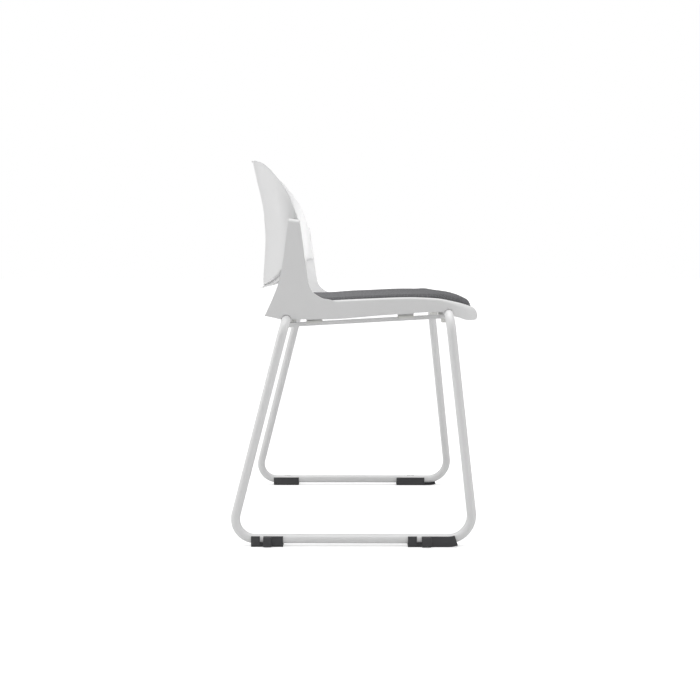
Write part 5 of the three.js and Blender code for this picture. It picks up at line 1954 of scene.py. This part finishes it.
@dataclass
class SeatShell:
    """One white moulding: dished pan, rolled rim, skirts, nose, underside ribs, bosses and two uprights."""

    finishes: Finishes
    form: SeatForm
    back: BackForm
    sled: SledFrame
    rails: SeatRails
    clamps: TubeClamps
    wall: float = 3 * MM
    pan: float = 4 * MM
    draft: float = 1.5 * MM
    hem: float = 1 * MM
    hem_share: float = 0.3
    rear_round: float = 2 * MM
    rear_start: float = 1.1
    rim_height: float = 30 * MM
    fillet: float = 6 * MM
    fillet_share: float = 0.8
    fillet_runs: float = 4.0
    rear_skirt: float = 28.5 * MM
    skirt_reach: float = 0.97
    skirt_below: float = 1.2
    rib: float = 2.4 * MM
    rib_depth: float = 11 * MM
    rib_spread: float = 150 * MM
    cross_rib: float = 188.9 * MM
    embed: float = 1 * MM
    overrun: float = 2 * MM
    gap: float = 0.3 * MM
    tube_gap: float = 1.2 * MM
    step: float = 5.5 * MM
    tongue: float = 2.8 * MM
    tongue_above: float = 62.6 * MM
    tongue_height: float = 52 * MM
    tongue_angles: tuple[float, float] = (61.0, 84.0)
    screw_angle: float = 69.0
    screw_spacing: float = 28 * MM
    back_screw: Screw = Screw(3.6 * MM, 7.6 * MM, 1.8 * MM, 6.2 * MM)
    pad_screw: Screw = Screw(4 * MM, 9 * MM, 2.2 * MM, 6.6 * MM)
    pad_screw_x: float = 110 * MM
    pad_screw_y: tuple[float, float] = (118 * MM, -112 * MM)
    hole_gap: float = 0.4 * MM
    nose_power: float = 1.4
    rear_shares: tuple[float, ...] = (0, 0.05, 0.2, 0.45, 0.75)
    skirt_shares: tuple[float, ...] = (0, 0.33, 0.66)
    step_shares: tuple[tuple[float, float], ...] = ((0.3, 0.12), (0.75, 0.8), (1, 1))
    across_shares: tuple[float, ...] = (
        0.01, 0.02, 0.029, 0.036, 0.043, 0.05, 0.058, 0.068, 0.09, 0.13, 0.18, 0.24, 0.31, 0.39, 0.48, 0.58,
        0.68, 0.79, 0.9, 1,
    )

    def columns(self) -> tuple[np.ndarray, np.ndarray]:
        """Plan points and their outward directions, from the rear corner to the nose."""
        form = self.form
        corner = form.corner(form.half, form.front, form.corner_depth)
        start = form.rear - self.rear_round * self.rear_start
        line = evenly(np.concatenate([[[form.half, start]], corner]), self.step)
        edge = [[form.half, form.rear - self.rear_round * share] for share in self.rear_shares]
        line = np.concatenate([edge, line])
        return line, plan_normals(line)

    def skins(self) -> tuple[np.ndarray, np.ndarray]:
        """Outer and inner skins of the pan's left half, from the skirt's edge over the rim to the middle."""
        form = self.form
        line, normal = self.columns()
        rim = form.side_rim + (form.nose_rim - form.side_rim) * np.abs(normal[:, 1]) ** self.nose_power
        fall = rim * (1 + form.nose_fall * normal[:, 1] ** 2)
        low = form.skirt_z(line[:, 1])
        top = form.rim_z(line[:, 1] - normal[:, 1] * rim)
        end = self.back.upright.end
        draft = self.draft * smooth_step(end - line[:, 1], 0, end)
        skins = []
        for inside in (False, True):
            wall, pan = (self.wall, self.pan) if inside else (0.0, 0.0)
            hem = -self.hem if inside else self.hem
            above = self.hem_share
            rows = [(draft + wall + hem, low), (draft + wall + hem * above, low + self.hem * above)]
            rows += [
                (draft * (1 - t) + wall, (low + self.hem) * (1 - t) + (top - fall) * t)
                for t in self.skirt_shares
            ]
            inset = np.maximum(wall + 2 * self.gap, rim - wall / 2) if inside else rim
            for turn in np.linspace(0, QUARTER, 11):
                along = wall + (inset - wall) * (1 - math.cos(turn))
                rows.append((along, top - fall * (1 - math.sin(turn)) - pan * math.sin(turn)))
            lower = rim + (self.gap if inside else form.recess / 2)
            place = line - normal * lower[:, None]
            bed = form.bed_z(place[:, 0], place[:, 1]) - pan
            for across, down in self.step_shares:
                rows.append((inset + (lower - inset) * across, (top - pan) + (bed - top + pan) * down))
            points = []
            for across, z in rows:
                place = line - normal * np.broadcast_to(across, low.shape)[:, None]
                points.append(np.concatenate([place, z[:, None]], axis=1))
            skins.append(np.stack([*points, *self.bed_rows(points[-1], pan)]))
        return skins[0], skins[1]

    def bed_rows(self, edge: np.ndarray, pan: float) -> list[np.ndarray]:
        """Rows of the bed, from its edge to the chair's middle line.

        Args:
            edge: Points of the bed's edge.
            pan: How far below the bed's surface they lie.

        Returns:
            Rows of points.
        """
        form, upright = self.form, self.back.upright
        middle_y = form.middle_y(edge[:, 1])
        middle = np.stack([np.zeros_like(middle_y), middle_y], axis=1)
        rows = []
        for share in self.across_shares:
            place = edge[:, :2] * (1 - share) + middle * share
            z = form.bed_z(place[:, 0], place[:, 1]) - pan
            if pan == 0:
                behind = smooth_step(place[:, 1], upright.end, upright.end + self.fillet_runs * self.fillet)
                beside = np.maximum(upright.inner - place[:, 0], 0)
                z = z + behind * round_off(beside, self.fillet, self.fillet * self.fillet_share)
            rows.append(np.concatenate([place, z[:, None]], axis=1))
        return rows

    def pan_body(self) -> Piece:
        """Pan with its rim and skirts, its rear edge rounded."""
        outer, inner = self.skins()
        edge = self.form.rear - outer[..., 1]
        raised = np.clip((outer[..., 2] - outer[0, :, 2]) / self.rim_height, 0, 1)
        outer[..., 2] -= raised * round_off(edge, self.rear_round, self.rear_round)
        return walled(outer, inner)

    def plate(self) -> Piece:
        """Left upright, with its rolled top, the seat for the wing and the pocket for the tube."""
        upright = self.back.upright
        plate = prism(upright.outline(upright.inner), Vector((upright.thickness, 0, 0)))
        rear, front = upright.tips()
        along = rear - front
        start = front - along.normalized() * self.overrun
        start.x = self.form.half - upright.roll
        far, length = upright.roll + self.overrun, along.length + 2 * self.overrun
        bar = box_at((0, 0, 0), (far, length, far))
        tilt = Matrix.Rotation(math.atan2(along.z, along.y), 4, "X")
        bar.matrix_world = Matrix.Translation(start) @ tilt
        settle(bar)
        combine(bar, rod_at(upright.roll, start - along, along, 3 * along.length, 96), Cut.TAKE)
        combine(plate, bar, Cut.TAKE)
        soften(plate, upright.edge, 4, 40)
        low = upright.z(self.back.wing_low) - self.back.wing_gap
        seat = box_at(
            (upright.inner - self.overrun, upright.end, low),
            (upright.inner + upright.rebate, upright.rear, upright.top + far),
        )
        combine(plate, seat, Cut.TAKE)
        skirt = float(self.form.skirt_z(upright.end))
        pocket = box_at(
            (upright.inner + self.wall, upright.end + self.wall, skirt - self.overrun),
            (
                self.form.half - self.wall, self.sled.rear_cross.y - self.sled.radius - 2 * self.wall,
                float(self.form.rim_z(upright.end)) - self.form.side_rim - self.pan,
            ),
        )
        combine(plate, pocket, Cut.TAKE)
        return combine(plate, self.tongue_body(), Cut.JOIN)

    def tongue_body(self) -> Piece:
        """Tongue behind the left wing, which the back's screws go through."""
        low = self.back.bottom + self.tongue_above
        z = np.linspace(low, low + self.tongue_height, 8)[:, None]
        angle = np.radians(np.linspace(self.tongue_angles[1], self.tongue_angles[0], 14))[None, :]
        outer = self.back.point(angle, z, self.back.clearance + self.tongue)
        return slab(outer, self.back.point(angle, z, self.back.clearance))

    def rib_along(self, line: Sequence[Sequence[float]], side: Vector) -> Piece:
        """Rib under a line of the bed, as thick as a rib towards one side."""
        top = [Vector(point) - UP * self.embed for point in line]
        low = [point - UP * self.rib_depth for point in reversed(top)]
        return prism(top + low, side * self.rib)

    def ribs(self) -> list[list[Piece]]:
        """Rear skirt, two lengthwise ribs and three cross ribs, in sets that don't touch each other."""
        form = self.form
        reach = form.half * self.skirt_reach
        wide = np.linspace(reach, -reach, 21)
        below, base = self.skirt_below * self.rear_round, form.height - self.rear_skirt
        top = [Vector((x, form.rear, float(form.bed_z(x, form.rear)) - below)) for x in wide]
        foot = [Vector((x, form.rear, base)) for x in (-reach, reach)]
        skirt = prism(foot + top, Vector((0, -self.wall, 0)))
        lengthwise, crosswise = [], []
        start, end = form.rear - self.wall / 2, form.front + form.nose_rim + self.wall / 2
        for side in Side:
            x = side.value * self.rib_spread / 2 - self.rib / 2
            long = np.linspace(start, end, 30)
            lengthwise.append(self.rib_along([(x, y, form.bed_z(x, y)) for y in long], ACROSS))
        reach = form.half - self.wall - self.embed
        for y in (form.rear - self.cross_rib, *self.rails.caps.values()):
            wide, place = np.linspace(reach, -reach, 33), y - self.rib / 2
            crosswise.append(self.rib_along([(x, place, form.bed_z(x, y)) for x in wide], Vector((0, 1, 0))))
        return [[skirt], lengthwise, crosswise]

    def bosses(self) -> Piece:
        """Eight bosses: four over the tubes and four over the rails."""
        form, clamps, rails = self.form, self.clamps, self.rails
        over_tubes, channels, over_rails = [], [], []
        matrix = rails.placed()
        for side in Side:
            x = side.value * clamps.x
            for cross in self.sled.crosses.values():
                half = Vector((clamps.width / 2, clamps.length / 2, 0))
                top = float(form.bed_z(x, cross.y)) - self.pan + self.embed
                low = cross + Vector((x, 0, self.gap)) - half
                over_tubes.append(box_at(low, (low.x + clamps.width, low.y + clamps.length, top)))
                start = Vector((x - clamps.width, cross.y, cross.z))
                channels.append(rod_at(self.sled.radius + self.gap, start, ACROSS, 2 * clamps.width, 64))
            x = side.value * rails.x
            for y in rails.caps.values():
                foot = rails.height / 2 + rails.cap_top + 2 * self.gap
                ends = [
                    matrix @ Vector((0, rails.along(y) + end * rails.cap_length / 2, foot)) for end in (-1, 1)
                ]
                top = float(form.bed_z(x, y)) - self.pan + self.embed
                corner = x - rails.width / 2
                outline = [
                    Vector((corner, ends[0].y, ends[0].z)), Vector((corner, ends[0].y, top)),
                    Vector((corner, ends[1].y, top)), Vector((corner, ends[1].y, ends[1].z)),
                ]
                over_rails.append(prism(outline, Vector((rails.width, 0, 0))))
        bosses = combine(merged(over_tubes), merged(channels), Cut.TAKE)
        return merged([bosses, *over_rails])

    def back_screws(self) -> list[tuple[Side, Vector, Vector]]:
        """Side, place and inward direction of the four screws that hold the back."""
        low = self.back.bottom + self.tongue_above + self.tongue_height / 2
        places = []
        for side in Side:
            for step in (-0.5, 0.5):
                z = low + step * self.screw_spacing
                angle = side.value * math.radians(self.screw_angle)
                face = Vector(self.back.point(angle, z, self.back.clearance + self.tongue + self.gap))
                places.append((side, face, -self.back.normal(angle, z)))
        return places

    def holes(self) -> Piece:
        """Holes for the screws of the clamps, rails, pad and back, as one set of rods."""
        form, clamps, rails, rods = self.form, self.clamps, self.rails, []
        matrix = rails.placed()
        tilt = matrix.col[2].to_3d()
        for side in Side:
            for cross in self.sled.crosses.values():
                for end in (-0.5, 0.5):
                    start = cross + Vector((side.value * clamps.x, end * clamps.hole_spacing, -self.overrun))
                    depth = self.overrun + clamps.screw.length - clamps.flange + self.gap
                    rods.append(rod_at(clamps.hole, start, UP, depth, 24))
            for y in rails.caps.values():
                start = matrix @ Vector((0, rails.along(y), rails.height / 2))
                start.x = side.value * rails.x
                depth = rails.screw.length - rails.height + 3 * self.gap
                rods.append(rod_at(rails.hole, start, tilt, depth, 24))
            x = side.value * self.pad_screw_x
            for y in self.pad_screw_y:
                start = Vector((x, y, float(form.bed_z(x, y)) - 2 * self.pan))
                rods.append(rod_at(self.pad_screw.shank / 2 + self.hole_gap, start, UP, 3 * self.pan, 24))
        radius, depth = self.back_screw.shank / 2 + self.hole_gap, 2 * self.overrun + self.tongue
        for _, face, inward in self.back_screws():
            rods.append(rod_at(radius, face - inward * self.overrun, inward, depth, 24))
        return merged(rods)

    def build(self) -> None:
        """Builds and dresses the shell and the screws of its pad and back."""
        shell = self.pan_body()
        left = self.plate()
        right = mirrored_copy(left, "upright_right")
        combine(shell, merged([left, right]), Cut.JOIN)
        for group in self.ribs():
            combine(shell, merged(group), Cut.JOIN)
        for side in Side:
            tube = self.sled.loop(self.sled.radius + self.tube_gap, overlap=self.overrun)
            if side is Side.RIGHT:
                spare, tube = tube, mirrored_copy(tube, "tube_cutter_right")
                discard(spare)
            combine(shell, tube, Cut.TAKE)
        combine(shell, self.bosses(), Cut.JOIN)
        combine(shell, self.holes(), Cut.TAKE)
        dress(named(shade(shell, 32), "moulded_seat_shell"), self.finishes, "shell_plastic", ["seat_shell"])
        self.screws()

    def screws(self) -> None:
        """Builds and dresses the screws of the pad and the back."""
        master = self.pad_screw.build()
        for side in Side:
            x = side.value * self.pad_screw_x
            for name, y in zip(("rear", "front"), self.pad_screw_y):
                spot = Vector((x, y, float(self.form.bed_z(x, y)) - self.pan - 2 * self.gap))
                fixed = moved_copy(master, f"pad_fixing_{name}_{side.label}", Matrix.Translation(spot))
                dress(fixed, self.finishes, "plain_steel", [f"pad_screw_{name}_{side.label}"])
        discard(master)
        master = self.back_screw.build()
        for i, (side, face, inward) in enumerate(self.back_screws()):
            name = f"{('lower', 'upper')[i % 2]}_{side.label}"
            turn = inward.to_track_quat("Z", "Y").to_matrix().to_4x4()
            fixed = moved_copy(master, f"back_fixing_{name}", Matrix.Translation(face) @ turn)
            dress(fixed, self.finishes, "plain_steel", [f"back_screw_{name}"])
        discard(master)


@dataclass
class SeatPad:
    """Thin upholstered pad: a foam slab and a wool cover with a crown and soft round edges."""

    finishes: Finishes
    form: SeatForm
    edge_gap: float = 1 * MM
    rear: float = 155.4 * MM
    rear_corner: float = 60 * MM
    rear_half: float = 198 * MM
    rear_lead: float = 0.6
    taper: tuple[float, float] = (90 * MM, 150 * MM)
    low: float = 0.95 * MM
    foam_low: float = 3.95 * MM
    foam_high: float = 10.45 * MM
    high: float = 11.75 * MM
    edge_round: float = 14 * MM
    front_round: float = 8 * MM
    edge_drop: float = 0.75
    front_reach: float = 5 * MM
    front_swell: tuple[tuple[float, ...], ...] = (in_mm(2.1, 130, 160), in_mm(2.1, 182, 208))
    crown: float = 1.5 * MM
    foam_inset: float = 4 * MM
    tuck: float = 0.3 * MM
    tuck_inset: float = 1.4
    tuck_lead: float = 0.35
    tuck_power: float = 0.6
    reach_from: float = 0.4
    ahead_power: int = 4
    step: float = 5 * MM
    cap: float = 0.9 * MM
    pinned: float = 1.5 * MM
    cloth_mass: float = 0.3
    stretch: float = 12.0
    bend: float = 1.5
    cloth_steps: int = 6
    pressure: float = 4.0
    frames: int = 20
    edge_shares: tuple[float, ...] = (0, 0.04, 0.12, 0.22, 0.35, 0.5, 0.68, 0.86, 1)
    side_shares: tuple[float, ...] = (0.85, 0.65, 0.42, 0.2, 0.06)
    inner_shares: tuple[float, ...] = tuple(i / 16 for i in range(1, 17))

    def plan(self, inset: float) -> np.ndarray:
        """Plan of the pad's left half, from the rear middle round to the front middle."""
        form = self.form
        half = form.half - form.side_rim - form.recess / 2 - self.edge_gap - inset
        rear_half, rear = self.rear_half - inset, self.rear - inset
        front = form.front + form.nose_rim + form.recess / 2 + self.edge_gap + inset
        depth = form.corner_depth - form.nose_rim
        behind = form.corner(rear_half, rear, -self.rear_corner)[::-1]
        y = np.linspace(rear - self.rear_corner, front + depth, 400)
        widen = smooth_step(self.rear - y, *self.taper)
        side = np.stack([rear_half + (half - rear_half) * widen, y], axis=1)
        return evenly(np.concatenate([behind[:-1], side, form.corner(half, front, depth)[1:]]), self.step)

    def inward(self, line: np.ndarray, share: float) -> np.ndarray:
        """Plan points part of the way to the middle line."""
        rear, y = self.rear - self.rear_corner, line[:, 1]
        middle = np.where(y > rear, rear + self.rear_lead * (y - rear), self.form.middle_y(y))
        return np.stack([line[:, 0] * (1 - share), y * (1 - share) + middle * share], axis=1)

    def pillow(self, inset: float, low: float, high: float) -> Piece:
        """Closed pillow with a weave map.

        Args:
            inset: How far inside the cover's outline it lies.
            low: Its underside above the bed.
            high: Its top above the bed.

        Returns:
            Pillow.
        """
        form = self.form
        line = self.plan(inset)
        normal = plan_normals(line)
        ahead = np.where(normal[:, 1] < 0, normal[:, 1] ** self.ahead_power, 0)
        reach = self.front_reach * ahead
        rounding = self.edge_round + (self.front_round - self.edge_round) * ahead
        drop = self.edge_drop * (high - low)
        rows, weave = [], []

        def add(place: np.ndarray, above: Values, fall: Values) -> None:
            """Adds a row at a height above the bed, and unrolls it for the weave."""
            z = form.bed_z(place[:, 0], place[:, 1]) + above
            for swell, start, end in self.front_swell:
                z = z + swell * smooth_step(-place[:, 1], start, end) * np.clip((above - low) / drop, 0, 1)
            rows.append(np.concatenate([place, z[:, None]], axis=1))
            weave.append(place + normal * np.broadcast_to(fall, z.shape)[:, None])

        edge_z = high - drop
        for share in self.side_shares[::-1]:
            turn = math.pi * min(share + self.tuck_lead, 1) / 2
            bulge = self.tuck * (1 - math.sin(turn) ** self.tuck_power)
            out = reach * smooth_step(share, self.reach_from, 1) - bulge
            add(line + normal * out[:, None], low + (edge_z - low) * share, (edge_z - low) * (1 - share))
        for share in self.edge_shares:
            out = reach * (1 - share) - rounding * share
            add(line + normal * out[:, None], high - drop * (1 - share) ** 3, 0.0)
        edge = line - normal * rounding[:, None]
        for share in self.inner_shares:
            add(self.inward(edge, share), high + self.crown * (1 - (1 - share) ** 2), 0.0)
        top = np.stack(rows)
        under = []
        start = line - normal * self.tuck * self.tuck_inset
        for i in range(len(rows)):
            share = i / (len(rows) - 1)
            place = self.inward(start, share)
            z = form.bed_z(place[:, 0], place[:, 1]) + low
            under.append(np.concatenate([place, z[:, None]], axis=1))
        return walled(top, np.stack(under), weave=np.stack(weave))

    def fill(self, cover: Piece) -> None:
        """Swells the cover with a short cloth simulation.

        The underside is pinned, and the travel goes outwards alone and is capped.

        Args:
            cover: Cover, at rest.
        """
        rest = np.empty(len(cover.data.vertices) * 3)
        cover.data.vertices.foreach_get("co", rest)
        rest = rest.reshape(-1, 3)
        normals = np.empty_like(rest).ravel()
        cover.data.vertices.foreach_get("normal", normals)
        normals = normals.reshape(-1, 3)
        height = rest[:, 2] - self.form.bed_z(rest[:, 0], rest[:, 1])
        pins = cover.vertex_groups.new(name="pinned")
        pins.add([int(i) for i in np.flatnonzero(height < self.low + self.pinned)], 1.0, "REPLACE")
        cloth = cover.modifiers.new("Cloth", "CLOTH")
        cloth.settings.quality = self.cloth_steps
        cloth.settings.mass = self.cloth_mass
        cloth.settings.tension_stiffness = self.stretch
        cloth.settings.compression_stiffness = self.stretch
        cloth.settings.bending_stiffness = self.bend
        cloth.settings.use_pressure = True
        cloth.settings.uniform_pressure_force = self.pressure
        cloth.settings.vertex_group_mass = pins.name
        cloth.settings.effector_weights.gravity = 0
        cloth.collision_settings.use_collision = False
        cloth.point_cache.frame_start = 1
        cloth.point_cache.frame_end = self.frames
        scene = bpy.context.scene
        for i in range(1, self.frames + 1):
            scene.frame_set(i)
        pick_only(cover)
        bpy.ops.object.modifier_apply(modifier=cloth.name)
        scene.frame_set(1)
        moved = np.empty_like(rest).ravel()
        cover.data.vertices.foreach_get("co", moved)
        travel = moved.reshape(-1, 3) - rest
        travel -= normals * np.minimum((travel * normals).sum(axis=1), 0)[:, None]
        length = np.linalg.norm(travel, axis=1)[:, None]
        log.info("cover swells by up to %.2f mm", length.max() / MM)
        capped = rest + travel * (self.cap / np.maximum(length, self.cap))
        cover.data.vertices.foreach_set("co", capped.ravel())
        cover.data.update()

    def build(self) -> None:
        """Builds and dresses the cover and the foam."""
        cover = named(self.pillow(0.0, self.low, self.high - self.cap / 2), "pad_wool_cover")
        self.fill(cover)
        modify(cover, "SUBSURF", levels=1, render_levels=1)
        dress(shade(cover, 80), self.finishes, "pad_fabric", ["pad_cover"])
        foam = named(self.pillow(self.foam_inset, self.foam_low, self.foam_high), "pad_foam_slab")
        dress(shade(foam, 80), self.finishes, "pad_foam", ["pad_foam"])


def main() -> None:
    """Builds the studio and the chair."""
    logging.basicConfig(level=logging.INFO, format="%(name)s: %(message)s")
    Studio().build()
    finishes = {slot: finish.material() for slot, finish in SLOT_FINISHES.items()}
    sled = SledFrame(finishes)
    rails = SeatRails(finishes, sled)
    clamps = TubeClamps(finishes, sled)
    seat = SeatForm()
    back = BackForm(seat, UprightForm(seat))
    for piece in (
        sled, rails, clamps, RunnerGlides(finishes, sled),
        SeatShell(finishes, seat, back, sled, rails, clamps),
        BackShell(finishes, back), RearCover(finishes, back), SeatPad(finishes, seat),
    ):
        piece.build()
    dress_nodes(finishes)


if __name__ == "__main__":
    main()
